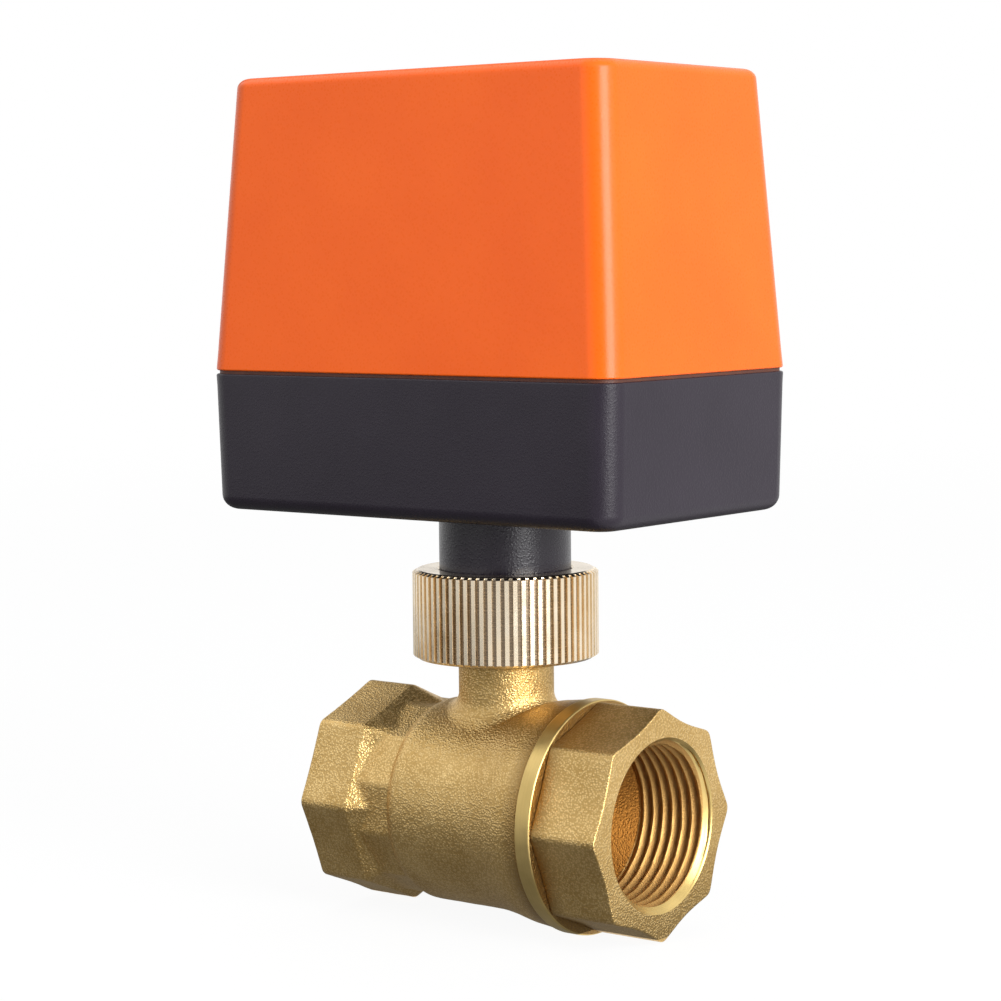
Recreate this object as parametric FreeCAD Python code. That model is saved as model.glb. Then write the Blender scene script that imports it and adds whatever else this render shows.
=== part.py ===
import FreeCAD, Part
import math
import os

V = FreeCAD.Vector
os.makedirs("parts", exist_ok=True)

# All sizes are in millimetres. The pieces are drawn with X along the flow from the inlet
# face at X = 0, Z up the stem, and the flow axis at Y = 0, Z = 0. At the end each piece is
# moved back by the mouth's chamfer, so that the origin is where the inlet thread starts.

# Pipe ports, G 3/4 parallel thread, each bored within the thread's limits
PORT_MAJOR_R = 13.22
INLET_MINOR_R = 12.06
OUTLET_MINOR_R = 12.26
PORT_PITCH = 1.814
PORT_TURNS = 7
PORT_MOUTH_R = 13.5
PORT_CREST = 0.5
DRILL_DEPTH = 2.4

# Valve body and end connector
STEM_X = 28.4
JOINT_STEP = 15.2
INLET_CORNER_R = 17.6
INLET_OCTAGON_L = 9.2
OUTLET_CORNER_R = 17.95
OUTLET_OCTAGON_L = 11.8
OCTAGON_EDGE_R = 2.3
OCTAGON_HOLLOW = 0.4
SHOULDER_L = 3.2
WAIST_R = 15.5
WAIST_L = 5.2
BARREL_R = 16.25
BARREL_EDGE_R = 1.3
FLARE_START = 3.0
FLARE_MID = 11.5
FLARE_MID_R = 17.55
FLARE_END_R = 18.0
COLLAR_R = 18.25
COLLAR_L = 2.8
PAD_HALF_W = 4.6
PAD_R = 17.35
PAD_L = 4.6

# Ball, seats and the screwed joint
BALL_R = 12.5
BORE_R = 7.5
SEAT_R = 11.3
SEAT_L = 4.6
SEAT_BACK = 12.2
SEAT_CLEARANCE = 0.06
SEAT_GROOVE_CLEARANCE = 0.03
CAVITY_R = 13.1
SPIGOT_R = 14.4
SPIGOT_L = 7.6
SPIGOT_CLEARANCE = 0.08
SEAT_BORE_CLEARANCE = 0.3
NOSE_CLEARANCE = 0.3
BALL_ROOM = 0.5
SEAL_T = 0.8
SEAL_W = 1.6

# Stem and its seals
STEM_R = 4.0
STEM_CLEARANCE = 0.04
STEM_COLLAR_R = 5.6
STEM_COLLAR_T = 1.5
TONGUE_W = 4.0
TONGUE_DEPTH = 2.4
TONGUE_CLEARANCE = 0.1
WASHER_T = 0.8
RING_GROOVE_DEPTH = 1.1
RING_WIRE_R = 0.55
RING_GROOVE_W = 1.5
RING_ZS = (19.0, 22.6)
STEM_LIFT = 0.4
STEM_COLLAR_ROOM = 0.3
SQUARE_W = 5.6
SQUARE_H = 6.6
SQUARE_CLEARANCE = 0.08

# Stem tower and union nut
TOWER_R = 7.5
TOWER_FILLET = 1.6
TOWER_HEAD_R = 11.4
TOWER_HEAD_Z = 32.0
TOWER_FLARE_Z = 22.7
TOWER_POCKET_Z = 26.6
TOWER_POCKET_R = 7.2
KEY_W = 3.0
KEY_H = 1.5
KEY_CLEARANCE = 0.1
KEY_INNER_GAP = 0.3
KEY_OUTER_GAP = 0.2
NECK_SEAL_T = 0.6
NECK_SEAL_W = 1.3
NECK_SEAL_CLEARANCE = 0.05
NECK_GAP = 0.1
NUT_TIP_R = 14.6
NUT_TOOTH_H = 0.5
NUT_TEETH = 70
NUT_BOTTOM_Z = 23.7
NUT_TOP_Z = 37.7
NUT_LIP_T = 2.2
NUT_CLEARANCE = 0.15
NUT_EDGE = 0.5
NUT_TOOTH_STEPS = ((0.0, 0), (0.3, 1), (0.62, 1), (0.92, 0))

# Actuator housing
BOX_SHIFT_X = -1.2
BOX_SHIFT_Y = -0.25
BASE_BOTTOM_Z = 46.9
SPLIT_Z = 68.6
COVER_TOP_Z = 114.4
SPLIT_HALF_X = 39.15
SPLIT_HALF_Y = 24.3
BASE_DRAFT_X = 0.6
BASE_DRAFT_Y = 0.25
COVER_DRAFT_X = 3.05
COVER_DRAFT_Y = 2.85
CORNER_R = 4.0
TOP_EDGE_R = 1.5
BOTTOM_EDGE_R = 2.3
WALL = 2.2
FLOOR_T = 2.5
SPLIT_GAP = 0.5
GASKET_W = 1.2
GASKET_INSET = 0.5
GASKET_CLEARANCE = 0.05
NECK_R = 10.35
NECK_BORE_R = 6.6
CLIP_Z = 33.3
CLIP_T = 1.4
CLIP_R = 12.0
CLIP_DEPTH = 0.9
CLIP_CLEARANCE = 0.05
CLIP_GRIP = 0.02
CLIP_GAP_W = 2.4
RECT = ((-1, -1), (1, -1), (1, 1), (-1, 1))

# Housing screws
SCREW_INSET_X = 6.4
SCREW_INSET_Y = 6.6
SCREW_R = 1.45
SCREW_HEAD_R = 2.7
SCREW_HEAD_T = 2.0
SCREW_GRIP = 8.5
SCREW_CLEARANCE = 0.05
SCREW_HOLE_CLEARANCE = 0.15
SCREW_HEAD_ROOM = 0.3
SCREW_HEAD_DEPTH = 0.2
BOSS_R = 3.4
POST_ROOM = 2.0
POST_ROOF = 1.2
POST_WEB_W = 1.6

# Gear train, in modules, teeth and widths
OUTPUT_MODULE = 0.8
SECOND_MODULE = 0.6
FIRST_MODULE = 0.5
WHEEL_TEETH = 30
PINION_TEETH = 14
PRESSURE_ANGLE = 20.0
ADDENDUM = 0.8
DEDENDUM = 1.05
BACKLASH = 0.14
GEAR_LIFT = 3.1
OUTPUT_GEAR_W = 4.5
SECOND_GEAR_W = 2.5
FIRST_GEAR_W = 2.0
GEAR_STEP = 0.5
IDLER_B_ANGLE = 157.0
IDLER_A_ANGLE = 248.7
MOTOR_ANGLE = 114.2
PIN_R = 1.5
PIN_CLEARANCE = 0.04
HUB_WALL = 1.4
PIN_SEAT_Z = 1.0
PRESS_CLEARANCE = 0.01

# Output shaft and cam
SHAFT_R = 5.5
SHAFT_END_R = 6.0
SHAFT_TOP_R = 4.6
BUSH_CLEARANCE = 0.04
BUSH_L = 11.0
BUSH_FLANGE_W = 1.6
BUSH_FLANGE_T = 1.2
SHAFT_LIFT = 0.7
SOCKET_ROOM = 0.4
SHAFT_STEP_ROOM = 1.2
SHAFT_STUB = 1.5
RETAINER_T = 0.5
RETAINER_DEPTH = 0.6
RETAINER_SLOT_W = 4.8
CAM_R = 6.8
CAM_LOBE_R = 8.2
CAM_T = 3.4
CAM_STEP = 6.6
CAM_LIFT = 1.9
CAM_LOBE_ANGLE = 40.0
CAM_LOBES = (180.0, 270.0)
CAM_HUB_WALL = 1.2

# Gearbox plate and pillars
PLATE_T = 1.5
PLATE_GAP = 2.0
PILLAR_R = 2.4
PLATE_SCREW_R = 1.1
PLATE_SCREW_HEAD_R = 2.0
PLATE_SCREW_HEAD_T = 1.3
PLATE_SCREW_GRIP = 6.0
PLATE_EDGE_GAP = 2.0
PLATE_SIDE_GAP = 1.2
PILLAR_MIDDLE_X = -3.0
PILLAR_STEP = 8.75
PILLAR_STEP_INLET = 6.75
PILLAR_INSET_INLET = 0.8

# Motor
MOTOR_R = 10.5
MOTOR_H = 27.5
CAN_WALL = 0.8
MOTOR_CAP_T = 1.6
MOTOR_SHAFT_R = 1.0
MOTOR_PILOT_R = 3.0
ROTOR_R = 6.6
ROTOR_GAP = 0.4
COIL_R = 9.4
ROTOR_L = 17.0
MOTOR_SCREW_OFFSET = 7.6
MOTOR_SCREW_R = 0.9
MOTOR_SCREW_ANGLE = 54.0
MOTOR_SCREW_HEAD_R = 1.6
MOTOR_SCREW_HEAD_T = 0.9
BEARING_R = 2.2
BEARING_CLEARANCE = 0.03
COIL_LIFT = 3.0
CORE_STEP = 2.0
ROTOR_STEP = 0.5
PILOT_INSET = 0.2
MOTOR_NOSE_L = 1.6
PINION_OVERHANG = 0.3

# Circuit board and switches
BOARD_GAP_X = 8.35
BOARD_T = 1.6
BOARD_HALF_W = 16.5
BOARD_H = 38.0
BOARD_TAB_W = 6.0
RELAY_SIZE = (7.5, 12.0, 15.0)
RELAY_LIFT = 19.0
CAPACITOR_R = 3.6
CAPACITOR_L = 11.0
CAPACITOR_LIFT = 8.0
TERMINAL_SIZE = (5.8, 10.0, 22.0)
TERMINAL_POLES = 4
TERMINAL_SCREW_X = 3.0
TERMINAL_SCREW_R = 1.45
TERMINAL_HOLE_R = 1.5
TERMINAL_HOLE_DEPTH = 2.5
TERMINAL_SCREW_DROP = 0.8
WIRE_SLOT_W = 3.2
WIRE_SLOT_LOW = 1.2
WIRE_SLOT_HIGH = 4.4
WIRE_SLOT_X = 3.6
DRIVER_SLOT_W = 0.5
RELAY_EDGE_R = 0.5
RELAY_GAP = 1.0
CAPACITOR_EDGE_R = 0.4
SWITCH_X = 10.9
SWITCH_SIZE = (10.0, 20.0, 6.2)
SWITCH_HOLE_SPAN = 9.5
SWITCH_SCREW_R = 1.05
LEVER_T = 0.4
LEVER_W = 3.2
LEVER_L = 14.0
LEVER_GAP = 1.1
BUTTON_R = 0.8
BUTTON_H = 0.4
BUTTON_Y = 1.5
BLADE_YS = (-7.5, 0.0, 7.5)
BLADE_W = 2.8
BLADE_T = 0.6
BLADE_L = 3.2
SWITCH_LIFT = 0.2
SWITCH_GAP = 0.4
SWITCH_HOLE_SHARE = 0.7
SWITCH_SCREW_HEAD_R = 1.9
SWITCH_SCREW_HEAD_T = 1.2
LEVER_EYE_R = 0.8
LEVER_ROLL_R = 0.7
LEVER_PIN_R = 0.4
LEVER_PIN_CLEARANCE = 0.04
EAR_W = 1.4
EAR_T = 0.7
EAR_GAP = 0.2

# Cable gland on the back wall
GLAND_X = 10.0
GLAND_Z = 56.9
GLAND_THREAD_R = 5.0
GLAND_HEX = 13.0
GLAND_FLANGE_T = 4.0
GLAND_COLLET_R = 4.7
GLAND_COLLET_L = 5.5
GLAND_INSIDE_L = 5.6
LOCKNUT_T = 2.8
CABLE_BORE_R = 2.6
GLAND_CLEARANCE = 0.1
GLAND_NUT_L = 8.6
GLAND_SEAL_T = 1.2
GLAND_SEAL_CLEARANCE = 0.02
GLAND_SEAL_STEP = 2.0
GLAND_SEAT_GAP = 0.15
GLAND_NUT_GAP = 0.3
GLAND_NUT_EDGE_R = 2.6
GLAND_NUT_CORNER = 0.4
GLAND_NUT_BORE_CLEARANCE = 0.15

# Places worked out from the sizes above
PORT_DEPTH = PORT_PITCH * PORT_TURNS
THREAD_START_X = PORT_MOUTH_R - INLET_MINOR_R
JOINT_X = STEM_X + JOINT_STEP
VALVE_LENGTH = JOINT_X + COLLAR_L + OUTLET_OCTAGON_L
STEM_COLLAR_Z = BALL_R + STEM_LIFT
NECK_END_Z = TOWER_HEAD_Z + NECK_GAP
FLOOR_Z = BASE_BOTTOM_Z + FLOOR_T
GEAR_Z = FLOOR_Z + GEAR_LIFT
SECOND_Z = GEAR_Z + OUTPUT_GEAR_W + GEAR_STEP
FIRST_Z = SECOND_Z + SECOND_GEAR_W + GEAR_STEP
PLATE_Z = FIRST_Z + FIRST_GEAR_W + PLATE_GAP
PLATE_TOP_Z = PLATE_Z + PLATE_T
BOTTOM_HALF_X = SPLIT_HALF_X - BASE_DRAFT_X
BOTTOM_HALF_Y = SPLIT_HALF_Y - BASE_DRAFT_Y
TOP_HALF_X = SPLIT_HALF_X - COVER_DRAFT_X
TOP_HALF_Y = SPLIT_HALF_Y - COVER_DRAFT_Y
BOX_X = STEM_X + BOX_SHIFT_X
BOX_Y = BOX_SHIFT_Y
BOARD_X = SPLIT_HALF_X - WALL - BOARD_T - BOARD_GAP_X
COVER_Z = SPLIT_Z + SPLIT_GAP / 2
BASE_TOP_Z = SPLIT_Z - SPLIT_GAP / 2
CAM_Z = PLATE_TOP_Z + CAM_LIFT
CAM_TOP_Z = CAM_Z + CAM_STEP + CAM_T
CAN_Z = PLATE_TOP_Z + MOTOR_CAP_T
CAN_TOP_Z = PLATE_TOP_Z + MOTOR_H
TERMINAL_Z = PLATE_TOP_Z + BOARD_H - TERMINAL_SIZE[1] - 1
LEVER_X = STEM_X + SWITCH_X - LEVER_GAP - LEVER_T / 2
LEVER_PIN_Y = 1 - SWITCH_SIZE[1] / 2


def cylinder(radius, z0, z1, x=STEM_X, y=0.0):
    return Part.makeCylinder(radius, z1 - z0, V(x, y, z0))


def ring(outer, inner, z0, z1, x=STEM_X, y=0.0):
    return cylinder(outer, z0, z1, x, y).cut(cylinder(inner, z0 - 1, z1 + 1, x, y))


def along_x(radius, x0, x1):
    return Part.makeCylinder(radius, x1 - x0, V(x0, 0, 0), V(1, 0, 0))


def block(x0, x1, y0, y1, z0, z1):
    return Part.makeBox(x1 - x0, y1 - y0, z1 - z0, V(x0, y0, z0))


def revolved(outline, centre, axis):
    wire = Part.makePolygon(outline + [outline[0]])
    return Part.Face(wire).revolve(centre, axis, 360)


def turned_x(points):
    """A solid turned about the flow axis, from (x, radius) points."""
    return revolved([V(x, 0, r) for x, r in points], V(0, 0, 0), V(1, 0, 0))


def turned_z(points, x=STEM_X, y=0.0):
    """A solid turned about an upright axis, from (radius, z) points."""
    return revolved([V(x + r, y, z) for r, z in points], V(x, y, 0), V(0, 0, 1))


def polygon_x(corner_r, sides, x, turn=0.0):
    points = []
    for i in range(sides + 1):
        a = math.radians(turn + 360.0 * i / sides)
        points.append(V(x, corner_r * math.sin(a), corner_r * math.cos(a)))
    return Part.makePolygon(points)


def hollow_octagon(corner_r, x0, x1):
    """An octagonal wrench end with a corner on top, rounded edges and slightly hollow flats."""
    corners = polygon_x(corner_r, 8, x0).Vertexes
    edges = []
    for i in range(8):
        a = corners[i].Point
        b = corners[(i + 1) % 8].Point
        middle = (a + b) * 0.5
        outward = V(0, middle.y, middle.z).normalize()
        edges.append(Part.Arc(a, middle - outward * OCTAGON_HOLLOW, b).toShape())
    prism = Part.Face(Part.Wire(edges)).extrude(V(x1 - x0, 0, 0))
    long_edges = [e for e in prism.Edges if abs(e.tangentAt(e.FirstParameter).x) > 0.99]
    return prism.makeFillet(OCTAGON_EDGE_R, long_edges)


def port_cutter(minor_r):
    """A threaded port that opens at X = 0 and runs towards +X, with its drill point."""
    points = [(-1.0, 0.0), (-1.0, PORT_MOUTH_R), (0.0, PORT_MOUTH_R)]
    points.append((PORT_MOUTH_R - minor_r, minor_r))
    half_v = (PORT_PITCH - PORT_CREST) / 2
    for i in range(1, PORT_TURNS):
        x = i * PORT_PITCH + PORT_CREST / 2
        points.append((x, minor_r))
        points.append((x + half_v, PORT_MAJOR_R))
        points.append((x + 2 * half_v, minor_r))
    points.append((PORT_DEPTH + PORT_CREST, minor_r))
    points.append((PORT_DEPTH + PORT_CREST + DRILL_DEPTH, BORE_R))
    points.append((PORT_DEPTH + PORT_CREST + DRILL_DEPTH, 0.0))
    return turned_x(points)


def outlet_port_cutter():
    cutter = port_cutter(OUTLET_MINOR_R)
    cutter.rotate(V(0, 0, 0), V(0, 0, 1), 180)
    cutter.translate(V(VALVE_LENGTH, 0, 0))
    return cutter


def barrel():
    """The round barrel, with a rounded inlet edge and a flare up to the screwed joint."""
    x0 = INLET_OCTAGON_L + SHOULDER_L + WAIST_L - BARREL_EDGE_R
    corner = BARREL_EDGE_R * (1 - math.cos(math.radians(45)))
    start = V(x0, 0, BARREL_R - BARREL_EDGE_R)
    top = V(x0 + BARREL_EDGE_R, 0, BARREL_R)
    bend = V(STEM_X + FLARE_START, 0, BARREL_R)
    knee = V(STEM_X + FLARE_MID, 0, FLARE_MID_R)
    end = V(JOINT_X, 0, FLARE_END_R)
    sag = (FLARE_MID_R - BARREL_R) * 0.12
    middle = (bend + knee) * 0.5 - V(0, 0, sag)
    edges = [
        Part.makeLine(V(x0, 0, 0), start),
        Part.Arc(start, V(x0 + corner, 0, BARREL_R - corner), top).toShape(),
        Part.makeLine(top, bend),
        Part.Arc(bend, middle, knee).toShape(),
        Part.makeLine(knee, end),
        Part.makeLine(end, V(JOINT_X, 0, 0)),
        Part.makeLine(V(JOINT_X, 0, 0), V(x0, 0, 0)),
    ]
    return Part.Face(Part.Wire(edges)).revolve(V(0, 0, 0), V(1, 0, 0), 360)


def shoulder():
    """The sloping step from the inlet octagon down to the twelve-sided waist."""
    x0 = INLET_OCTAGON_L
    x1 = x0 + SHOULDER_L
    wide = polygon_x(INLET_CORNER_R - OCTAGON_HOLLOW, 8, x0)
    narrow = polygon_x(WAIST_R - OCTAGON_HOLLOW, 8, x1)
    slope = Part.makeLoft([wide, narrow], True, True)
    waist = Part.Face(polygon_x(WAIST_R, 12, x0, 15.0)).extrude(V(SHOULDER_L + WAIST_L, 0, 0))
    return slope.fuse(waist)


def top_pad():
    """The low cast pad on top, between the inlet octagon and the stem tower."""
    x0 = INLET_OCTAGON_L - 1
    x1 = INLET_OCTAGON_L + PAD_L
    pad = block(x0, x1, -PAD_HALF_W, PAD_HALF_W, BORE_R + PAD_HALF_W, PAD_R)
    upper = [e for e in pad.Edges if e.BoundBox.ZMin > PAD_R - 0.01 and e.BoundBox.XMax > x0 + 1]
    return pad.makeFillet(PAD_L * 0.45, upper)


def tower():
    """The stem tower, with the threaded head that the union nut screws on to."""
    flare_top = TOWER_FLARE_Z + TOWER_HEAD_R - TOWER_R
    points = [(0, BORE_R), (TOWER_R, BORE_R), (TOWER_R, TOWER_FLARE_Z)]
    points += [(TOWER_HEAD_R, flare_top), (TOWER_HEAD_R, TOWER_HEAD_Z), (0, TOWER_HEAD_Z)]
    return turned_z(points)


def key_block(clearance, z0, z1, side):
    """One of the two keys across the neck's end that stop the actuator turning on the tower."""
    inner = TOWER_POCKET_R + NECK_SEAL_W + KEY_INNER_GAP
    outer = NECK_R - KEY_OUTER_GAP
    if clearance:
        outer = TOWER_HEAD_R + 1
    y0, y1 = sorted((side * (inner - clearance), side * outer))
    half = KEY_W / 2 + clearance
    return block(STEM_X - half, STEM_X + half, y0, y1, z0, z1)


def make_valve_body():
    outside = hollow_octagon(INLET_CORNER_R, 0, INLET_OCTAGON_L)
    outside = outside.fuse([shoulder(), barrel(), top_pad()])
    shell = outside.fuse(tower()).removeSplitter()
    root = [e for e in shell.Edges if is_tower_root(e)]
    shell = shell.makeFillet(TOWER_FILLET, root)
    shell = shell.cut(port_cutter(INLET_MINOR_R))
    shell = shell.cut(along_x(BORE_R, PORT_DEPTH, STEM_X))
    shell = shell.cut(along_x(SEAT_R + SEAT_GROOVE_CLEARANCE, STEM_X - SEAT_BACK, STEM_X))
    shell = shell.cut(along_x(CAVITY_R, STEM_X - SEAT_BACK + SEAT_L, JOINT_X + 1))
    shell = shell.cut(along_x(SPIGOT_R + SPIGOT_CLEARANCE, JOINT_X - SPIGOT_L - SEAL_T, JOINT_X + 1))
    pocket_z = STEM_COLLAR_Z + STEM_COLLAR_T + WASHER_T
    shell = shell.cut(cylinder(STEM_COLLAR_R + STEM_COLLAR_ROOM, 0, pocket_z))
    shell = shell.cut(cylinder(STEM_R + STEM_CLEARANCE, 0, TOWER_HEAD_Z + 1))
    shell = shell.cut(cylinder(TOWER_POCKET_R, TOWER_POCKET_Z, TOWER_HEAD_Z + 1))
    seal_r = TOWER_POCKET_R + NECK_SEAL_W
    shell = shell.cut(cylinder(seal_r, TOWER_HEAD_Z - NECK_SEAL_T + NECK_GAP, TOWER_HEAD_Z + 1))
    for side in (-1, 1):
        slot = key_block(KEY_CLEARANCE, TOWER_HEAD_Z - KEY_H, TOWER_HEAD_Z + 1, side)
        shell = shell.cut(slot)
    return shell


def is_tower_root(edge):
    """True for the curves where the tower's cylinder leaves the barrel."""
    box = edge.BoundBox
    if box.ZMin < BORE_R + 1 or box.ZMax > TOWER_FLARE_Z - 1:
        return False
    points = edge.discretize(5)
    reach = [math.hypot(p.x - STEM_X, p.y) for p in points]
    level = box.XLength + box.YLength > 0.1
    return level and max(reach) < TOWER_R + 0.02 and min(reach) > TOWER_R - 0.02


def make_end_connector():
    octagon = hollow_octagon(OUTLET_CORNER_R, JOINT_X + COLLAR_L - 0.2, VALVE_LENGTH)
    seat_x = STEM_X + SEAT_BACK
    spigot = along_x(SPIGOT_R, JOINT_X - SPIGOT_L, JOINT_X + 1)
    nose = along_x(CAVITY_R - NOSE_CLEARANCE, seat_x - SEAT_L, JOINT_X)
    connector = octagon.fuse([along_x(COLLAR_R, JOINT_X, JOINT_X + COLLAR_L), spigot, nose])
    connector = connector.cut(along_x(BORE_R, STEM_X, VALVE_LENGTH - PORT_DEPTH))
    connector = connector.cut(along_x(SEAT_R + SEAT_GROOVE_CLEARANCE, STEM_X, seat_x))
    connector = connector.cut(Part.makeSphere(BALL_R + BALL_ROOM, V(STEM_X, 0, 0)))
    return connector.cut(outlet_port_cutter()).removeSplitter()


def make_body_seal():
    x0 = JOINT_X - SPIGOT_L - SEAL_T
    outer = along_x(SPIGOT_R, x0, x0 + SEAL_T)
    return outer.cut(along_x(SPIGOT_R - SEAL_W, x0 - 1, x0 + SEAL_T + 1))


def tongue(clearance, length, z0, z1):
    """The stem's tongue, or with a clearance the slot in the ball, along the bore."""
    half = TONGUE_W / 2 + clearance
    return block(STEM_X - length, STEM_X + length, -half, half, z0, z1)


def make_ball():
    ball = Part.makeSphere(BALL_R, V(STEM_X, 0, 0))
    ball = ball.cut(along_x(BORE_R, 0, VALVE_LENGTH))
    slot = tongue(TONGUE_CLEARANCE, BALL_R, BALL_R - TONGUE_DEPTH, BALL_R + 1)
    return ball.cut(slot)


def make_seat(side):
    x0, x1 = sorted((STEM_X + side * (SEAT_BACK - SEAT_L), STEM_X + side * SEAT_BACK))
    seat = along_x(SEAT_R, x0, x1)
    seat = seat.cut(along_x(BORE_R + SEAT_BORE_CLEARANCE, x0 - 1, x1 + 1))
    return seat.cut(Part.makeSphere(BALL_R + SEAT_CLEARANCE, V(STEM_X, 0, 0)))


def stem_square(clearance, z0, z1):
    half = SQUARE_W / 2 + clearance
    corner = STEM_R - 0.1 + clearance
    square = block(STEM_X - half, STEM_X + half, -half, half, z0, z1)
    return square.common(cylinder(corner, z0, z1))


def make_stem():
    stem = cylinder(STEM_COLLAR_R, STEM_COLLAR_Z, STEM_COLLAR_Z + STEM_COLLAR_T)
    stem = stem.fuse(cylinder(STEM_R, STEM_COLLAR_Z, TOWER_POCKET_Z))
    foot_z = BALL_R - TONGUE_DEPTH + TONGUE_CLEARANCE
    foot = tongue(0, STEM_COLLAR_R, foot_z, STEM_COLLAR_Z + STEM_COLLAR_T / 2)
    foot = foot.common(cylinder(STEM_COLLAR_R, 0, STEM_COLLAR_Z + STEM_COLLAR_T))
    stem = stem.fuse([foot, stem_square(0, TOWER_POCKET_Z, TOWER_POCKET_Z + SQUARE_H)])
    for z in RING_ZS:
        groove = ring(STEM_R + 1, STEM_R - RING_GROOVE_DEPTH, z, z + RING_GROOVE_W)
        stem = stem.cut(groove)
    return stem.removeSplitter()


def make_stem_washer():
    z0 = STEM_COLLAR_Z + STEM_COLLAR_T
    return ring(STEM_COLLAR_R, STEM_R + STEM_CLEARANCE, z0, z0 + WASHER_T)


def make_stem_rings():
    middle = STEM_R - RING_GROOVE_DEPTH + RING_WIRE_R + PRESS_CLEARANCE
    rings = [
        Part.makeTorus(middle, RING_WIRE_R, V(STEM_X, 0, z + RING_GROOVE_W / 2)) for z in RING_ZS
    ]
    return Part.makeCompound(rings)


def make_neck_seal():
    z0 = NECK_END_Z - NECK_SEAL_T
    outer = TOWER_POCKET_R + NECK_SEAL_W - NECK_SEAL_CLEARANCE
    return ring(outer, TOWER_POCKET_R + NECK_SEAL_CLEARANCE, z0, NECK_END_Z)


def knurled_disc(z0, z1):
    """The nut's outside: straight knurl teeth with flat tips and V roots."""
    points = []
    step = 360.0 / NUT_TEETH
    for i in range(NUT_TEETH):
        for share, at_tip in NUT_TOOTH_STEPS:
            a = math.radians((i + share) * step)
            radius = NUT_TIP_R - NUT_TOOTH_H * (1 - at_tip)
            points.append(V(STEM_X + radius * math.cos(a), radius * math.sin(a), z0))
    points.append(points[0])
    return Part.Face(Part.makePolygon(points)).extrude(V(0, 0, z1 - z0))


def make_union_nut():
    nut = knurled_disc(NUT_BOTTOM_Z, NUT_TOP_Z)
    envelope = [(0, NUT_BOTTOM_Z), (NUT_TIP_R - NUT_EDGE, NUT_BOTTOM_Z)]
    envelope += [(NUT_TIP_R, NUT_BOTTOM_Z + NUT_EDGE), (NUT_TIP_R, NUT_TOP_Z - NUT_EDGE)]
    envelope += [(NUT_TIP_R - NUT_EDGE, NUT_TOP_Z), (0, NUT_TOP_Z)]
    nut = nut.common(turned_z(envelope))
    clip_room = CLIP_R + NUT_CLEARANCE
    lip_z = NUT_TOP_Z - NUT_LIP_T
    nut = nut.cut(cylinder(TOWER_HEAD_R + NUT_CLEARANCE, NUT_BOTTOM_Z - 1, lip_z))
    nut = nut.cut(cylinder(clip_room, TOWER_HEAD_Z, lip_z))
    return nut.cut(cylinder(NECK_R + NUT_CLEARANCE, NUT_BOTTOM_Z, NUT_TOP_Z + 1))


def make_neck_clip():
    """The open snap ring in the neck's groove that carries the union nut's lip."""
    low, high = CLIP_Z + CLIP_CLEARANCE, CLIP_Z + CLIP_T - CLIP_CLEARANCE
    clip = ring(CLIP_R, NECK_R - CLIP_DEPTH + CLIP_GRIP, low, high)
    half = CLIP_GAP_W / 2
    gap = block(STEM_X + 1, STEM_X + CLIP_R + 1, -half, half, low - 1, high + 1)
    return clip.cut(gap)


def tapered_box(half_x0, half_y0, z0, half_x1, half_y1, z1, corner_r):
    """A box whose plan size changes evenly from z0 to z1, with rounded upright edges."""
    wires = []
    for hx, hy, z in ((half_x0, half_y0, z0), (half_x1, half_y1, z1)):
        points = [V(BOX_X + sx * hx, BOX_Y + sy * hy, z) for sx, sy in RECT]
        wires.append(Part.makePolygon(points + [points[0]]))
    solid = Part.makeLoft(wires, True, True)
    upright = [e for e in solid.Edges if e.BoundBox.ZLength > 0.9 * (z1 - z0)]
    return solid.makeFillet(corner_r, upright)



def half_at(z):
    """The housing's outer half sizes at a height, along its two tapers."""
    if z <= SPLIT_Z:
        share = (z - BASE_BOTTOM_Z) / (SPLIT_Z - BASE_BOTTOM_Z)
        hx = BOTTOM_HALF_X + share * (SPLIT_HALF_X - BOTTOM_HALF_X)
        return hx, BOTTOM_HALF_Y + share * (SPLIT_HALF_Y - BOTTOM_HALF_Y)
    share = (z - SPLIT_Z) / (COVER_TOP_Z - SPLIT_Z)
    hx = SPLIT_HALF_X + share * (TOP_HALF_X - SPLIT_HALF_X)
    return hx, SPLIT_HALF_Y + share * (TOP_HALF_Y - SPLIT_HALF_Y)


def housing_block(z0, z1, inset, corner_r):
    hx0, hy0 = half_at(z0)
    hx1, hy1 = half_at(z1)
    return tapered_box(hx0 - inset, hy0 - inset, z0, hx1 - inset, hy1 - inset, z1, corner_r)


def level_edges(solid, z):
    return [e for e in solid.Edges if abs(e.BoundBox.ZMin - z) < 0.01 and e.BoundBox.ZLength < 0.01]


def screw_places():
    hx, hy = SPLIT_HALF_X - SCREW_INSET_X, SPLIT_HALF_Y - SCREW_INSET_Y
    return [(BOX_X + sx * hx, BOX_Y + sy * hy) for sx, sy in RECT]


def idler_place(start, distance, angle):
    a = math.radians(angle)
    return start[0] + distance * math.cos(a), start[1] + distance * math.sin(a)


def centre_distance(module):
    return module * (WHEEL_TEETH + PINION_TEETH) / 2


OUTPUT_AT = (STEM_X, 0.0)
IDLER_B_AT = idler_place(OUTPUT_AT, centre_distance(OUTPUT_MODULE), IDLER_B_ANGLE)
IDLER_A_AT = idler_place(IDLER_B_AT, centre_distance(SECOND_MODULE), IDLER_A_ANGLE)
MOTOR_AT = idler_place(IDLER_A_AT, centre_distance(FIRST_MODULE), MOTOR_ANGLE)


def pillar_places():
    room = SPLIT_HALF_Y - WALL - PILLAR_R - PLATE_SIDE_GAP
    screw_x = SPLIT_HALF_X - SCREW_INSET_X
    outlet_x = screw_x - PILLAR_STEP
    spots = [(PILLAR_MIDDLE_X, room), (outlet_x, room)]
    spots += [(PILLAR_STEP_INLET - screw_x, PILLAR_INSET_INLET - room), (outlet_x, -room)]
    return [(BOX_X + x, BOX_Y + y) for x, y in spots]


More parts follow.
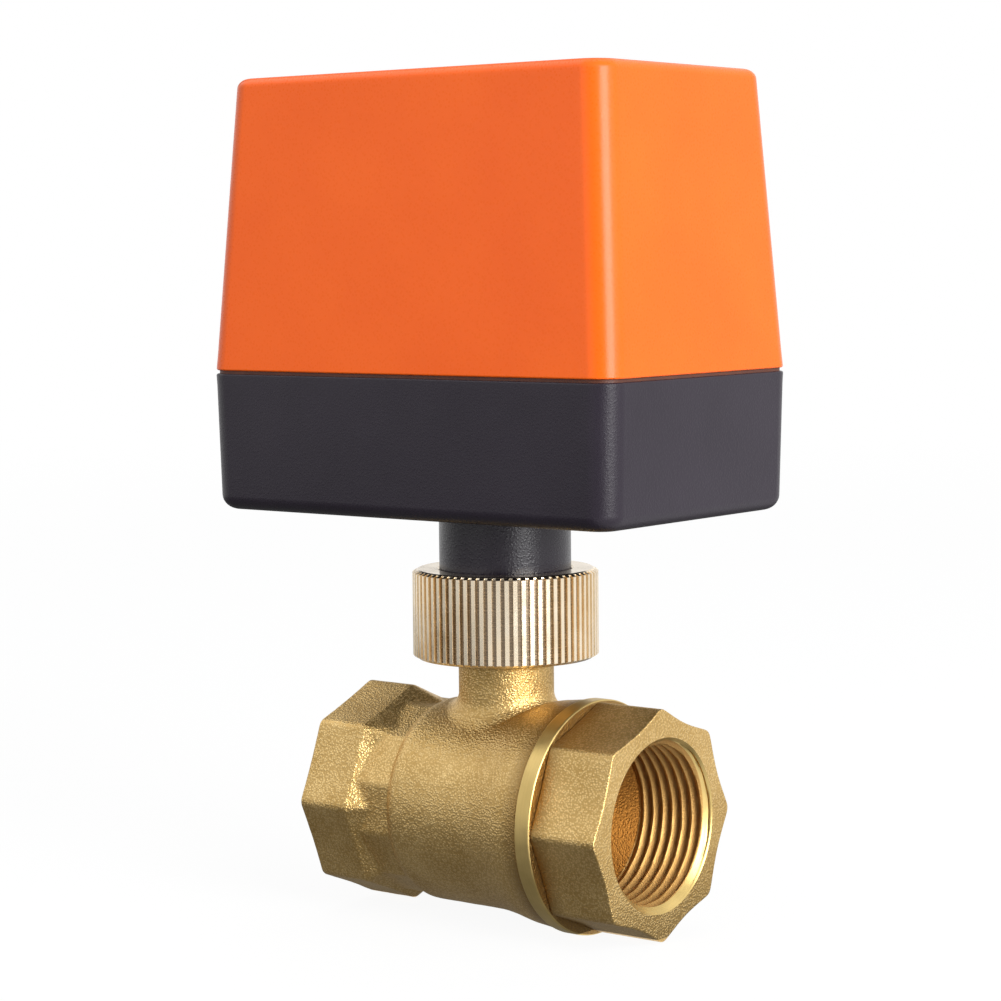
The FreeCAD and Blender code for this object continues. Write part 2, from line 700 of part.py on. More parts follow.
def make_actuator_base():
    base = housing_block(BASE_BOTTOM_Z, BASE_TOP_Z, 0, CORNER_R)
    base = base.makeFillet(BOTTOM_EDGE_R, level_edges(base, BASE_BOTTOM_Z))
    base = base.cut(housing_block(FLOOR_Z, BASE_TOP_Z + 1, WALL, CORNER_R - WALL))
    base = base.cut(gasket_ring(BASE_TOP_Z - GASKET_INSET, BASE_TOP_Z + 1, GASKET_CLEARANCE))
    for x, y in screw_places():
        base = base.fuse(cylinder(BOSS_R, BASE_BOTTOM_Z + PIN_SEAT_Z, BASE_TOP_Z, x, y))
    for x, y in (IDLER_A_AT, IDLER_B_AT):
        base = base.fuse(cylinder(PIN_R + HUB_WALL, FLOOR_Z - 1, GEAR_Z - GEAR_STEP, x, y))
    base = base.fuse(cylinder(NECK_R, NECK_END_Z, BASE_BOTTOM_Z + 1))
    for side in (-1, 1):
        base = base.fuse(key_block(0, TOWER_HEAD_Z - KEY_H + KEY_CLEARANCE, NECK_END_Z + 1, side))
    for x, y in screw_places():
        base = base.cut(cylinder(SCREW_R + SCREW_HOLE_CLEARANCE, 0, BASE_TOP_Z + 1, x, y))
        seat = BASE_BOTTOM_Z + SCREW_HEAD_T + SCREW_HEAD_DEPTH
        base = base.cut(cylinder(SCREW_HEAD_R + SCREW_HEAD_ROOM, 0, seat, x, y))
    for x, y in (IDLER_A_AT, IDLER_B_AT):
        base = base.cut(cylinder(PIN_R + PRESS_CLEARANCE, BASE_BOTTOM_Z + PIN_SEAT_Z, GEAR_Z, x, y))
    base = base.cut(cylinder(NECK_BORE_R, 0, FLOOR_Z + 1))
    groove = ring(CLIP_R + 1, NECK_R - CLIP_DEPTH, CLIP_Z, CLIP_Z + CLIP_T)
    base = base.cut(groove)
    gland_hole = gland_cylinder(GLAND_THREAD_R + GLAND_CLEARANCE, wall_y(WALL) - 1, wall_y(-1))
    return base.cut(gland_hole).removeSplitter()


def gasket_ring(z0, z1, clearance):
    """The track half way across the wall's top that holds the cover gasket."""
    outer_inset = (WALL - GASKET_W) / 2 - clearance
    inner_inset = (WALL + GASKET_W) / 2 + clearance
    outer = straight_box(outer_inset, z0, z1)
    return outer.cut(straight_box(inner_inset, z0 - 1, z1 + 1))


def straight_box(inset, z0, z1):
    hx, hy = SPLIT_HALF_X - inset, SPLIT_HALF_Y - inset
    return tapered_box(hx, hy, z0, hx, hy, z1, CORNER_R - inset)


def make_cover_gasket():
    return gasket_ring(BASE_TOP_Z - GASKET_INSET, COVER_Z, 0)


def make_actuator_cover():
    cover = housing_block(COVER_Z, COVER_TOP_Z, 0, CORNER_R)
    cover = cover.makeFillet(TOP_EDGE_R, level_edges(cover, COVER_TOP_Z))
    inside_top = COVER_TOP_Z - WALL
    cover = cover.cut(housing_block(COVER_Z - 0.001, inside_top, WALL, CORNER_R - WALL))
    post_top = COVER_Z + SCREW_GRIP + POST_ROOM
    for x, y in screw_places():
        post = cylinder(BOSS_R, COVER_Z, post_top, x, y)
        web_x = BOX_X + math.copysign(half_at(post_top)[0] - WALL / 2, x - BOX_X)
        x0, x1 = sorted((x, web_x))
        web = block(x0, x1, y - POST_WEB_W / 2, y + POST_WEB_W / 2, COVER_Z, post_top)
        cover = cover.fuse([post, web])
    for x, y in screw_places():
        cover = cover.cut(cylinder(SCREW_R + SCREW_CLEARANCE, 0, post_top - POST_ROOF, x, y))
    return cover.removeSplitter()


def pan_screw(x, y, head_z, head_t, head_r, shank_r, tip_z, up):
    """A screw with a domed head and a cross recess; up is +1 when its head is uppermost."""
    shank = cylinder(shank_r, min(head_z, tip_z), max(head_z, tip_z), x, y)
    head = Part.makeCylinder(head_r, head_t, V(x, y, head_z), V(0, 0, up))
    rim = [e for e in head.Edges if abs(e.BoundBox.ZMin - (head_z + up * head_t)) < 0.01]
    head = head.makeFillet(head_t * 0.45, [e for e in rim if e.BoundBox.ZLength < 0.01])
    screw = head.fuse(shank)
    top = head_z + up * head_t
    low, high = sorted((top - up * head_t * 0.5, top + up))
    for long_x, long_y in ((head_r * 0.6, head_r * 0.14), (head_r * 0.14, head_r * 0.6)):
        screw = screw.cut(block(x - long_x, x + long_x, y - long_y, y + long_y, low, high))
    return screw


def make_cover_screws():
    seat = BASE_BOTTOM_Z + SCREW_HEAD_T + SCREW_HEAD_DEPTH
    tip = COVER_Z + SCREW_GRIP
    screws = []
    for x, y in screw_places():
        screws.append(pan_screw(x, y, seat, SCREW_HEAD_T, SCREW_HEAD_R, SCREW_R, tip, -1))
    return Part.makeCompound(screws)


def involute(angle):
    return math.tan(angle) - angle


def gear_outline(teeth, module, phase, x, y, z):
    """The closed tooth outline, with the first tooth centred on the phase angle."""
    pitch_r = module * teeth / 2
    base_r = pitch_r * math.cos(math.radians(PRESSURE_ANGLE))
    tip_r = pitch_r + ADDENDUM * module
    root_r = pitch_r - DEDENDUM * module
    half = (math.pi * module / 2 - BACKLASH) / (2 * pitch_r)
    open_at_base = half + involute(math.radians(PRESSURE_ANGLE))
    start_r = max(base_r, root_r)
    flank = []
    if root_r < base_r:
        flank.append((root_r, open_at_base))
    for i in range(5):
        r = start_r + (tip_r - start_r) * i / 4
        flank.append((r, open_at_base - involute(math.acos(min(1.0, base_r / r)))))
    points = []
    for t in range(teeth):
        centre = math.radians(phase + 360.0 * t / teeth)
        tooth = [(r, centre - a) for r, a in flank] + [(r, centre + a) for r, a in reversed(flank)]
        points += [V(x + r * math.cos(a), y + r * math.sin(a), z) for r, a in tooth]
    return Part.makePolygon(points + [points[0]])


def gear(teeth, module, phase, at, z, width):
    outline = gear_outline(teeth, module, phase, at[0], at[1], z)
    return Part.Face(outline).extrude(V(0, 0, width))


def mesh_phase(phase, teeth, direction, mate_teeth):
    """The mate's tooth angle that puts a gap of it on this gear's tooth along a direction."""
    share = 0.5 - (phase - direction) * teeth / 360.0
    return direction + 180.0 + 360.0 / mate_teeth * share


OUTPUT_PHASE = 0.0
IDLER_B_PHASE = mesh_phase(OUTPUT_PHASE, WHEEL_TEETH, IDLER_B_ANGLE, PINION_TEETH)
IDLER_A_PHASE = mesh_phase(IDLER_B_PHASE, WHEEL_TEETH, IDLER_A_ANGLE, PINION_TEETH)
MOTOR_PHASE = mesh_phase(IDLER_A_PHASE, WHEEL_TEETH, MOTOR_ANGLE, PINION_TEETH)


def make_output_gear():
    wheel = gear(WHEEL_TEETH, OUTPUT_MODULE, OUTPUT_PHASE, OUTPUT_AT, GEAR_Z, OUTPUT_GEAR_W)
    wheel = wheel.cut(cylinder(SHAFT_TOP_R + PRESS_CLEARANCE, GEAR_Z - 1, GEAR_Z + OUTPUT_GEAR_W + 1))
    web_r = OUTPUT_MODULE * (WHEEL_TEETH / 2 - 3)
    recess = ring(web_r, SHAFT_TOP_R + HUB_WALL, GEAR_Z + OUTPUT_GEAR_W - 1, SECOND_Z + 1)
    return wheel.cut(recess)


def compound_gear(at, phase, pinion_module, pinion_z, wheel_module, wheel_z, wheel_w):
    """A wheel and the pinion under it, moulded as one and bored for its pin."""
    pinion = gear(PINION_TEETH, pinion_module, phase, at, pinion_z, wheel_z - pinion_z)
    wheel = gear(WHEEL_TEETH, wheel_module, phase, at, wheel_z, wheel_w)
    both = pinion.fuse(wheel)
    top = wheel_z + wheel_w + 1
    return both.cut(cylinder(PIN_R + PIN_CLEARANCE, pinion_z - 1, top, at[0], at[1]))


def make_idler_b():
    return compound_gear(
        IDLER_B_AT, IDLER_B_PHASE, OUTPUT_MODULE, GEAR_Z, SECOND_MODULE, SECOND_Z, SECOND_GEAR_W
    )


def make_idler_a():
    return compound_gear(
        IDLER_A_AT, IDLER_A_PHASE, SECOND_MODULE, SECOND_Z, FIRST_MODULE, FIRST_Z, FIRST_GEAR_W
    )


def make_idler_pins():
    pins = []
    for x, y in (IDLER_A_AT, IDLER_B_AT):
        pins.append(cylinder(PIN_R, BASE_BOTTOM_Z + PIN_SEAT_Z, PLATE_TOP_Z, x, y))
    x, y = IDLER_A_AT
    collar = ring(PIN_R + HUB_WALL, PIN_R - 0.1, GEAR_Z - GEAR_STEP, SECOND_Z - GEAR_STEP / 2, x, y)
    pins[0] = pins[0].fuse(collar)
    return Part.makeCompound(pins)


def retainer_z():
    """The level of the clip that keeps the cam on the shaft."""
    return CAM_TOP_Z + 2 * CLIP_CLEARANCE


def make_output_shaft():
    socket_z = TOWER_POCKET_Z + SQUARE_H
    step_z = socket_z + SHAFT_STEP_ROOM
    top_z = CAM_TOP_Z + SHAFT_STUB
    low_z = TOWER_POCKET_Z + SHAFT_LIFT
    points = [(0, low_z), (SHAFT_END_R, low_z), (SHAFT_END_R, step_z), (SHAFT_R, step_z)]
    points += [(SHAFT_R, GEAR_Z), (SHAFT_TOP_R, GEAR_Z), (SHAFT_TOP_R, top_z), (0, top_z)]
    shaft = turned_z(points)
    shaft = shaft.cut(stem_square(SQUARE_CLEARANCE, low_z - 1, socket_z + SOCKET_ROOM))
    groove_z = retainer_z() - CLIP_CLEARANCE
    groove_top = retainer_z() + RETAINER_T + CLIP_CLEARANCE
    groove = ring(SHAFT_TOP_R + 1, SHAFT_TOP_R - RETAINER_DEPTH, groove_z, groove_top)
    return shaft.cut(groove)


def make_shaft_clip():
    z0 = retainer_z()
    clip = ring(SHAFT_TOP_R + 1.5, SHAFT_TOP_R - RETAINER_DEPTH + CLIP_GRIP, z0, z0 + RETAINER_T)
    half = RETAINER_SLOT_W / 2
    return clip.cut(block(STEM_X + 1, STEM_X + SHAFT_TOP_R + 2, -half, half, z0 - 1, z0 + 1))


def make_output_bush():
    top = FLOOR_Z
    inner = SHAFT_R + BUSH_CLEARANCE
    bush = ring(NECK_BORE_R - PRESS_CLEARANCE, inner, top - BUSH_L, top)
    flange = ring(NECK_BORE_R + BUSH_FLANGE_W, inner, top, top + BUSH_FLANGE_T)
    return bush.fuse(flange).removeSplitter()


def make_cam():
    """The two cam discs on one hub, each with a lobe for its own switch."""
    cam = cylinder(SHAFT_TOP_R + CAM_HUB_WALL, CAM_Z, CAM_TOP_Z)
    for level, angle in ((CAM_Z, CAM_LOBES[0]), (CAM_Z + CAM_STEP, CAM_LOBES[1])):
        cam = cam.fuse(cylinder(CAM_R, level, level + CAM_T))
        lobe = Part.makeCylinder(CAM_LOBE_R, CAM_T, V(STEM_X, 0, level), V(0, 0, 1), CAM_LOBE_ANGLE)
        lobe.rotate(V(STEM_X, 0, 0), V(0, 0, 1), angle - CAM_LOBE_ANGLE / 2)
        cam = cam.fuse(lobe)
    bore = cylinder(SHAFT_TOP_R + PRESS_CLEARANCE, CAM_Z - 1, CAM_TOP_Z + 1)
    return cam.cut(bore).removeSplitter()


def make_gearbox_plate():
    hx, hy = SPLIT_HALF_X - WALL - PLATE_EDGE_GAP, SPLIT_HALF_Y - WALL - PLATE_SIDE_GAP
    plate = block(BOX_X - hx, BOX_X + hx, BOX_Y - hy, BOX_Y + hy, PLATE_Z, PLATE_TOP_Z)
    for x, y in screw_places():
        corner_x = BOX_X + math.copysign(hx + 1, x - BOX_X)
        corner_y = BOX_Y + math.copysign(hy + 1, y - BOX_Y)
        inner_x = x - math.copysign(BOSS_R + 0.6, x - BOX_X)
        inner_y = y - math.copysign(BOSS_R + 0.6, y - BOX_Y)
        x0, x1 = sorted((corner_x, inner_x))
        y0, y1 = sorted((corner_y, inner_y))
        plate = plate.cut(block(x0, x1, y0, y1, PLATE_Z - 1, PLATE_TOP_Z + 1))
    holes = [(x, y, PLATE_SCREW_R + 0.1) for x, y in pillar_places()]
    holes += [(x, y, PIN_R + PRESS_CLEARANCE) for x, y in (IDLER_A_AT, IDLER_B_AT)]
    holes += [(x, y, MOTOR_SCREW_R + 0.1) for x, y in motor_screw_places()]
    holes += [(x, y, SWITCH_SCREW_R + PRESS_CLEARANCE) for x, y in switch_screw_places()]
    holes.append((MOTOR_AT[0], MOTOR_AT[1], MOTOR_PILOT_R + 0.05))
    holes.append((STEM_X, 0.0, SHAFT_TOP_R + 0.06))
    for x, y, r in holes:
        plate = plate.cut(cylinder(r, PLATE_Z - 1, PLATE_TOP_Z + 1, x, y))
    for slot in board_tabs(0.1):
        plate = plate.cut(slot)
    return plate


def make_plate_pillars():
    pillars = []
    for x, y in pillar_places():
        pillar = cylinder(PILLAR_R, FLOOR_Z, PLATE_Z, x, y)
        hole = cylinder(PLATE_SCREW_R + PRESS_CLEARANCE, PLATE_Z - PLATE_SCREW_GRIP - 1, PLATE_Z + 1, x, y)
        pillars.append(pillar.cut(hole))
    return Part.makeCompound(pillars)


def make_plate_screws():
    screws = []
    for x, y in pillar_places():
        tip = PLATE_Z - PLATE_SCREW_GRIP
        size = (PLATE_SCREW_HEAD_T, PLATE_SCREW_HEAD_R, PLATE_SCREW_R)
        screws.append(pan_screw(x, y, PLATE_TOP_Z, *size, tip, 1))
    return Part.makeCompound(screws)


def motor_screw_places():
    a = math.radians(MOTOR_SCREW_ANGLE)
    dx, dy = MOTOR_SCREW_OFFSET * math.cos(a), MOTOR_SCREW_OFFSET * math.sin(a)
    x, y = MOTOR_AT
    return [(x + dx, y + dy), (x - dx, y - dy)]


def make_motor_screws():
    screws = []
    for x, y in motor_screw_places():
        size = (MOTOR_SCREW_HEAD_T, MOTOR_SCREW_HEAD_R, MOTOR_SCREW_R)
        screws.append(pan_screw(x, y, PLATE_Z, *size, CAN_Z, -1))
    return Part.makeCompound(screws)


def make_motor_can():
    x, y = MOTOR_AT
    can = cylinder(MOTOR_R, CAN_Z, CAN_TOP_Z, x, y)
    can = can.makeFillet(CAN_WALL, level_edges(can, CAN_TOP_Z))
    can = can.fuse(cylinder(MOTOR_PILOT_R, CAN_TOP_Z - CAN_WALL, CAN_TOP_Z + MOTOR_NOSE_L, x, y))
    can = can.cut(cylinder(MOTOR_R - CAN_WALL, CAN_Z - 1, CAN_TOP_Z - CAN_WALL, x, y))
    return can.cut(cylinder(BEARING_R, CAN_Z, CAN_TOP_Z + MOTOR_NOSE_L / 2, x, y))


def make_motor_cap():
    x, y = MOTOR_AT
    cap = cylinder(MOTOR_R, PLATE_TOP_Z, CAN_Z, x, y)
    cap = cap.fuse(cylinder(MOTOR_PILOT_R, PLATE_Z + PILOT_INSET, PLATE_TOP_Z + 1, x, y))
    cap = cap.cut(cylinder(BEARING_R, PLATE_Z - 1, CAN_Z + 1, x, y))
    for sx, sy in motor_screw_places():
        hole_r = MOTOR_SCREW_R + PRESS_CLEARANCE
        cap = cap.cut(cylinder(hole_r, PLATE_TOP_Z - 1, CAN_Z + 1, sx, sy))
    return cap


def make_motor_bearings():
    x, y = MOTOR_AT
    inner = MOTOR_SHAFT_R + BEARING_CLEARANCE
    outer = BEARING_R - PRESS_CLEARANCE
    lower = ring(outer, inner, PLATE_Z + PILOT_INSET, CAN_Z, x, y)
    upper = ring(outer, inner, CAN_TOP_Z - CAN_WALL, CAN_TOP_Z + MOTOR_NOSE_L / 2, x, y)
    return Part.makeCompound([lower, upper])


def make_motor_coil():
    x, y = MOTOR_AT
    z0 = CAN_Z + COIL_LIFT
    z1 = z0 + ROTOR_L
    coil = ring(COIL_R, ROTOR_R + ROTOR_GAP, z0, z1, x, y)
    core_r = MOTOR_R - CAN_WALL - PRESS_CLEARANCE
    core = ring(core_r, COIL_R - 0.1, z0 + CORE_STEP, z1 - CORE_STEP, x, y)
    return coil.fuse(core).removeSplitter()


def make_motor_rotor():
    x, y = MOTOR_AT
    z0 = CAN_Z + COIL_LIFT + ROTOR_STEP
    top = z0 + ROTOR_L - 2 * ROTOR_STEP
    return ring(ROTOR_R, MOTOR_SHAFT_R + PRESS_CLEARANCE, z0, top, x, y)


def make_motor_shaft():
    x, y = MOTOR_AT
    return cylinder(MOTOR_SHAFT_R, FIRST_Z - PINION_OVERHANG, CAN_TOP_Z + ROTOR_STEP, x, y)


def make_motor_pinion():
    z0 = FIRST_Z - PINION_OVERHANG
    width = FIRST_GEAR_W + 2 * PINION_OVERHANG
    pinion = gear(PINION_TEETH, FIRST_MODULE, MOTOR_PHASE, MOTOR_AT, z0, width)
    x, y = MOTOR_AT
    return pinion.cut(cylinder(MOTOR_SHAFT_R + PRESS_CLEARANCE, z0 - 1, PLATE_Z, x, y))


def board_tabs(clearance):
    """The two feet of the circuit board that stand in slots of the plate."""
    x0 = BOX_X + BOARD_X - clearance
    x1 = BOX_X + BOARD_X + BOARD_T + clearance
    tabs = []
    for side in (-1, 1):
        y = BOX_Y + side * BOARD_HALF_W * 0.5
        y0, y1 = y - BOARD_TAB_W / 2 - clearance, y + BOARD_TAB_W / 2 + clearance
        tabs.append(block(x0, x1, y0, y1, PLATE_Z, PLATE_TOP_Z + 0.5))
    return tabs


def make_circuit_board():
    x0 = BOX_X + BOARD_X
    z1 = PLATE_TOP_Z + BOARD_H
    board = block(x0, x0 + BOARD_T, BOX_Y - BOARD_HALF_W, BOX_Y + BOARD_HALF_W, PLATE_TOP_Z, z1)
    return board.fuse(board_tabs(0)).removeSplitter()


def make_relays():
    dx, dy, dz = RELAY_SIZE
    x1 = BOX_X + BOARD_X
    z0 = PLATE_TOP_Z + RELAY_LIFT
    relays = []
    for side in (-1, 1):
        y = BOX_Y + side * (dy / 2 + RELAY_GAP)
        case = block(x1 - dx, x1, y - dy / 2, y + dy / 2, z0, z0 + dz)
        front = [e for e in case.Edges if e.BoundBox.XMax < x1 - dx + 0.01]
        relays.append(case.makeFillet(RELAY_EDGE_R, front))
    return Part.makeCompound(relays)


def make_capacitor():
    z = PLATE_TOP_Z + CAPACITOR_LIFT
    x1 = BOX_X + BOARD_X + BOARD_T
    drum_x = x1 + CAPACITOR_R
    y0 = BOX_Y - CAPACITOR_L / 2
    drum = Part.makeCylinder(CAPACITOR_R, CAPACITOR_L, V(drum_x, y0, z), V(0, 1, 0))
    return drum.makeFillet(CAPACITOR_EDGE_R, [e for e in drum.Edges if e.BoundBox.YLength < 0.01])


def terminal_places():
    """Where the clamping screws stand, one for each pole."""
    pitch = TERMINAL_SIZE[2] / TERMINAL_POLES
    x = BOX_X + BOARD_X + BOARD_T + TERMINAL_SCREW_X
    start = BOX_Y - TERMINAL_SIZE[2] / 2 + pitch / 2
    return [(x, start + pitch * i) for i in range(TERMINAL_POLES)]


def make_terminal_block():
    dx, dz, dy = TERMINAL_SIZE
    x0 = BOX_X + BOARD_X + BOARD_T
    z0, top = TERMINAL_Z, TERMINAL_Z + dz
    case = block(x0, x0 + dx, BOX_Y - dy / 2, BOX_Y + dy / 2, z0, top)
    half = WIRE_SLOT_W / 2
    low, high = z0 + WIRE_SLOT_LOW, z0 + WIRE_SLOT_HIGH
    for x, y in terminal_places():
        case = case.cut(cylinder(TERMINAL_HOLE_R, top - TERMINAL_HOLE_DEPTH, top + 1, x, y))
        case = case.cut(block(x0 + WIRE_SLOT_X, x0 + dx + 1, y - half, y + half, low, high))
    return case


def make_terminal_screws():
    top = TERMINAL_Z + TERMINAL_SIZE[1]
    z0, z1 = top - TERMINAL_HOLE_DEPTH, top - TERMINAL_SCREW_DROP
    half = DRIVER_SLOT_W / 2
    screws = []
    for x, y in terminal_places():
        screw = cylinder(TERMINAL_SCREW_R, z0, z1, x, y)
        slot = block(x - 2, x + 2, y - half, y + half, z1 - DRIVER_SLOT_W, z1 + 1)
        screws.append(screw.cut(slot))
    return Part.makeCompound(screws)


def switch_z(level):
    return PLATE_TOP_Z + SWITCH_LIFT + level * (SWITCH_SIZE[2] + SWITCH_GAP)


def switch_screw_places():
    x = STEM_X + SWITCH_X + SWITCH_SIZE[0] * SWITCH_HOLE_SHARE
    return [(x, side * SWITCH_HOLE_SPAN / 2) for side in (-1, 1)]


def make_switch(level):
    dx, dy, dz = SWITCH_SIZE
    x0 = STEM_X + SWITCH_X
    z0 = switch_z(level)
    case = block(x0, x0 + dx, -dy / 2, dy / 2, z0, z0 + dz)
    for x, y in switch_screw_places():
        case = case.cut(cylinder(SWITCH_SCREW_R + 0.1, z0 - 1, z0 + dz + 1, x, y))
    z = z0 + dz / 2
    button = Part.makeCylinder(BUTTON_R, BUTTON_H + 1, V(x0 + 1, BUTTON_Y, z), V(-1, 0, 0))
    case = case.fuse(button)
    for y in BLADE_YS:
        y0, y1 = y - BLADE_W / 2, y + BLADE_W / 2
        z_low, z_high = z - BLADE_T / 2, z + BLADE_T / 2
        case = case.fuse(block(x0 + dx - 1, x0 + dx + BLADE_L, y0, y1, z_low, z_high))
    return case


def make_lever(level):
    """The thin steel lever hinged beside a switch, with a rolled end that rides the cam."""
    z = switch_z(level) + SWITCH_SIZE[2] / 2
    low, high = z - LEVER_W / 2, z + LEVER_W / 2
    x0, x1 = LEVER_X - LEVER_T / 2, LEVER_X + LEVER_T / 2
    strip = block(x0, x1, LEVER_PIN_Y, LEVER_PIN_Y + LEVER_L, low, high)
    eye = cylinder(LEVER_EYE_R, low, high, LEVER_X, LEVER_PIN_Y)
    roll_y = LEVER_PIN_Y + LEVER_L - 1
    roll = cylinder(LEVER_ROLL_R, low, high, x0 - LEVER_ROLL_R + EAR_GAP, roll_y)
    lever = strip.fuse([eye, roll])
    hole_r = LEVER_PIN_R + LEVER_PIN_CLEARANCE
    return lever.cut(cylinder(hole_r, low - 1, high + 1, LEVER_X, LEVER_PIN_Y))


def make_lever_pins():
    """The two hinge pins with their brackets, one for each lever."""
    dz = SWITCH_SIZE[2]
    y0, y1 = LEVER_PIN_Y - EAR_W / 2, LEVER_PIN_Y + EAR_W / 2
    near, far = LEVER_W / 2 + EAR_GAP, LEVER_W / 2 + EAR_GAP + EAR_T
    pins = []
    for level in (0, 1):
        z = switch_z(level) + dz / 2
        pin = cylinder(LEVER_PIN_R, z - far, z + far, LEVER_X, LEVER_PIN_Y)
        for low, high in ((z - far, z - near), (z + near, z + far)):
            pin = pin.fuse(block(LEVER_X - EAR_W / 2, STEM_X + SWITCH_X, y0, y1, low, high))
        pins.append(pin)
    return Part.makeCompound(pins)


def make_switch_screws():
    top = switch_z(1) + SWITCH_SIZE[2]
    screws = []
    for x, y in switch_screw_places():
        size = (SWITCH_SCREW_HEAD_T, SWITCH_SCREW_HEAD_R, SWITCH_SCREW_R)
        screws.append(pan_screw(x, y, top, *size, PLATE_Z, 1))
    return Part.makeCompound(screws)


def gland_cylinder(radius, y0, y1):
    at = V(STEM_X + GLAND_X, y0, GLAND_Z)
    return Part.makeCylinder(radius, y1 - y0, at, V(0, 1, 0))


def gland_hexagon(across, y0, y1):
    points = []
    corner_r = across / math.sqrt(3)
    for i in range(7):
        a = math.radians(60 * i)
        x = STEM_X + GLAND_X + corner_r * math.cos(a)
        points.append(V(x, y0, GLAND_Z + corner_r * math.sin(a)))
    return Part.Face(Part.makePolygon(points)).extrude(V(0, y1 - y0, 0))


def wall_y(inset):
    """Where the back wall's outer or inner face is, at the gland's height."""
    return BOX_Y + half_at(GLAND_Z)[1] - inset


def make_gland_body():
    seat = wall_y(-GLAND_SEAT_GAP)
    collet_end = seat + GLAND_FLANGE_T + GLAND_COLLET_L
    body = gland_hexagon(GLAND_HEX, seat, seat + GLAND_FLANGE_T)
    body = body.fuse(gland_cylinder(GLAND_THREAD_R, wall_y(WALL) - GLAND_INSIDE_L, seat + 1))
    body = body.fuse(gland_cylinder(GLAND_COLLET_R, seat, collet_end))
    body = body.cut(gland_cylinder(CABLE_BORE_R, 0, collet_end + 1))
    pocket_r = CABLE_BORE_R + GLAND_SEAL_T
    return body.cut(gland_cylinder(pocket_r, seat + GLAND_SEAL_STEP, collet_end + 1))


def make_gland_seal():
    seat = wall_y(-GLAND_SEAT_GAP)
    y1 = seat + GLAND_FLANGE_T + GLAND_COLLET_L
    outer = CABLE_BORE_R + GLAND_SEAL_T - GLAND_SEAL_CLEARANCE
    seal = gland_cylinder(outer, seat + GLAND_SEAL_STEP, y1)
    return seal.cut(gland_cylinder(CABLE_BORE_R + GLAND_SEAL_CLEARANCE, 0, y1 + 1))


def make_gland_nut():
    y0 = wall_y(-GLAND_SEAT_GAP) + GLAND_FLANGE_T + GLAND_NUT_GAP
    y1 = y0 + GLAND_NUT_L
    nut = gland_hexagon(GLAND_HEX, y0, y1)
    dome = gland_cylinder(GLAND_HEX / 2 + GLAND_NUT_CORNER, y0, y1)
    dome = dome.makeFillet(GLAND_NUT_EDGE_R, [e for e in dome.Edges if e.BoundBox.YMin > y1 - 0.01])
    nut = nut.common(dome)
    nut = nut.cut(gland_cylinder(GLAND_COLLET_R + GLAND_CLEARANCE, y0 - 1, y0 + GLAND_COLLET_L))
    return nut.cut(gland_cylinder(CABLE_BORE_R + GLAND_NUT_BORE_CLEARANCE, y0 - 1, y1 + 1))


def make_gland_locknut():
    y1 = wall_y(WALL + GLAND_SEAT_GAP)
    nut = gland_hexagon(GLAND_HEX, y1 - LOCKNUT_T, y1)
    return nut.cut(gland_cylinder(GLAND_THREAD_R + GLAND_SEAL_CLEARANCE, y1 - LOCKNUT_T - 1, y1 + 1))


PIECES = {
    "valve_body": make_valve_body,
    "end_connector": make_end_connector,
    "body_seal": make_body_seal,
    "ball": make_ball,
    "seat_ring_inlet": lambda: make_seat(-1),
    "seat_ring_outlet": lambda: make_seat(1),
    "stem": make_stem,
    "stem_thrust_washer": make_stem_washer,
    "stem_o_rings": make_stem_rings,
    "neck_seal": make_neck_seal,
    "union_nut": make_union_nut,
    "neck_snap_ring": make_neck_clip,
    "actuator_base": make_actuator_base,
    "actuator_cover": make_actuator_cover,
    "cover_gasket": make_cover_gasket,
    "cover_screws": make_cover_screws,
    "output_shaft": make_output_shaft,
    "output_bush": make_output_bush,
    "output_gear": make_output_gear,
    "shaft_clip": make_shaft_clip,
    "switch_cam": make_cam,
    "idler_gear_b": make_idler_b,
    "idler_gear_a": make_idler_a,
    "idler_pins": make_idler_pins,
    "gearbox_plate": make_gearbox_plate,
    "plate_pillars": make_plate_pillars,
    "plate_screws": make_plate_screws,
    "motor_can": make_motor_can,
    "motor_end_cap": make_motor_cap,
    "motor_bearings": make_motor_bearings,
    "motor_coil": make_motor_coil,
    "motor_rotor": make_motor_rotor,
    "motor_shaft": make_motor_shaft,
    "motor_pinion": make_motor_pinion,
    "motor_screws": make_motor_screws,
    "circuit_board": make_circuit_board,
    "relays": make_relays,
    "capacitor": make_capacitor,
    "terminal_block": make_terminal_block,
    "terminal_screws": make_terminal_screws,
    "limit_switch_open": lambda: make_switch(0),
    "limit_switch_closed": lambda: make_switch(1),
    "switch_lever_open": lambda: make_lever(0),
    "switch_lever_closed": lambda: make_lever(1),
    "lever_pins": make_lever_pins,
    "switch_screws": make_switch_screws,
    "gland_body": make_gland_body,
    "gland_seal": make_gland_seal,
    "gland_nut": make_gland_nut,
    "gland_locknut": make_gland_locknut,
}

for name, make in PIECES.items():
    shape = make()
    shape.translate(V(-THREAD_START_X, 0, 0))
    shape.exportStep("parts/" + name + ".step")
    state = "valid" if shape.isValid() else "not valid"
    print(name, len(shape.Solids), "solids", state, round(shape.Volume, 1), "mm3")
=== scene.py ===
import math

import bmesh
import bpy
import numpy as np
from mathutils import Matrix, Vector, noise


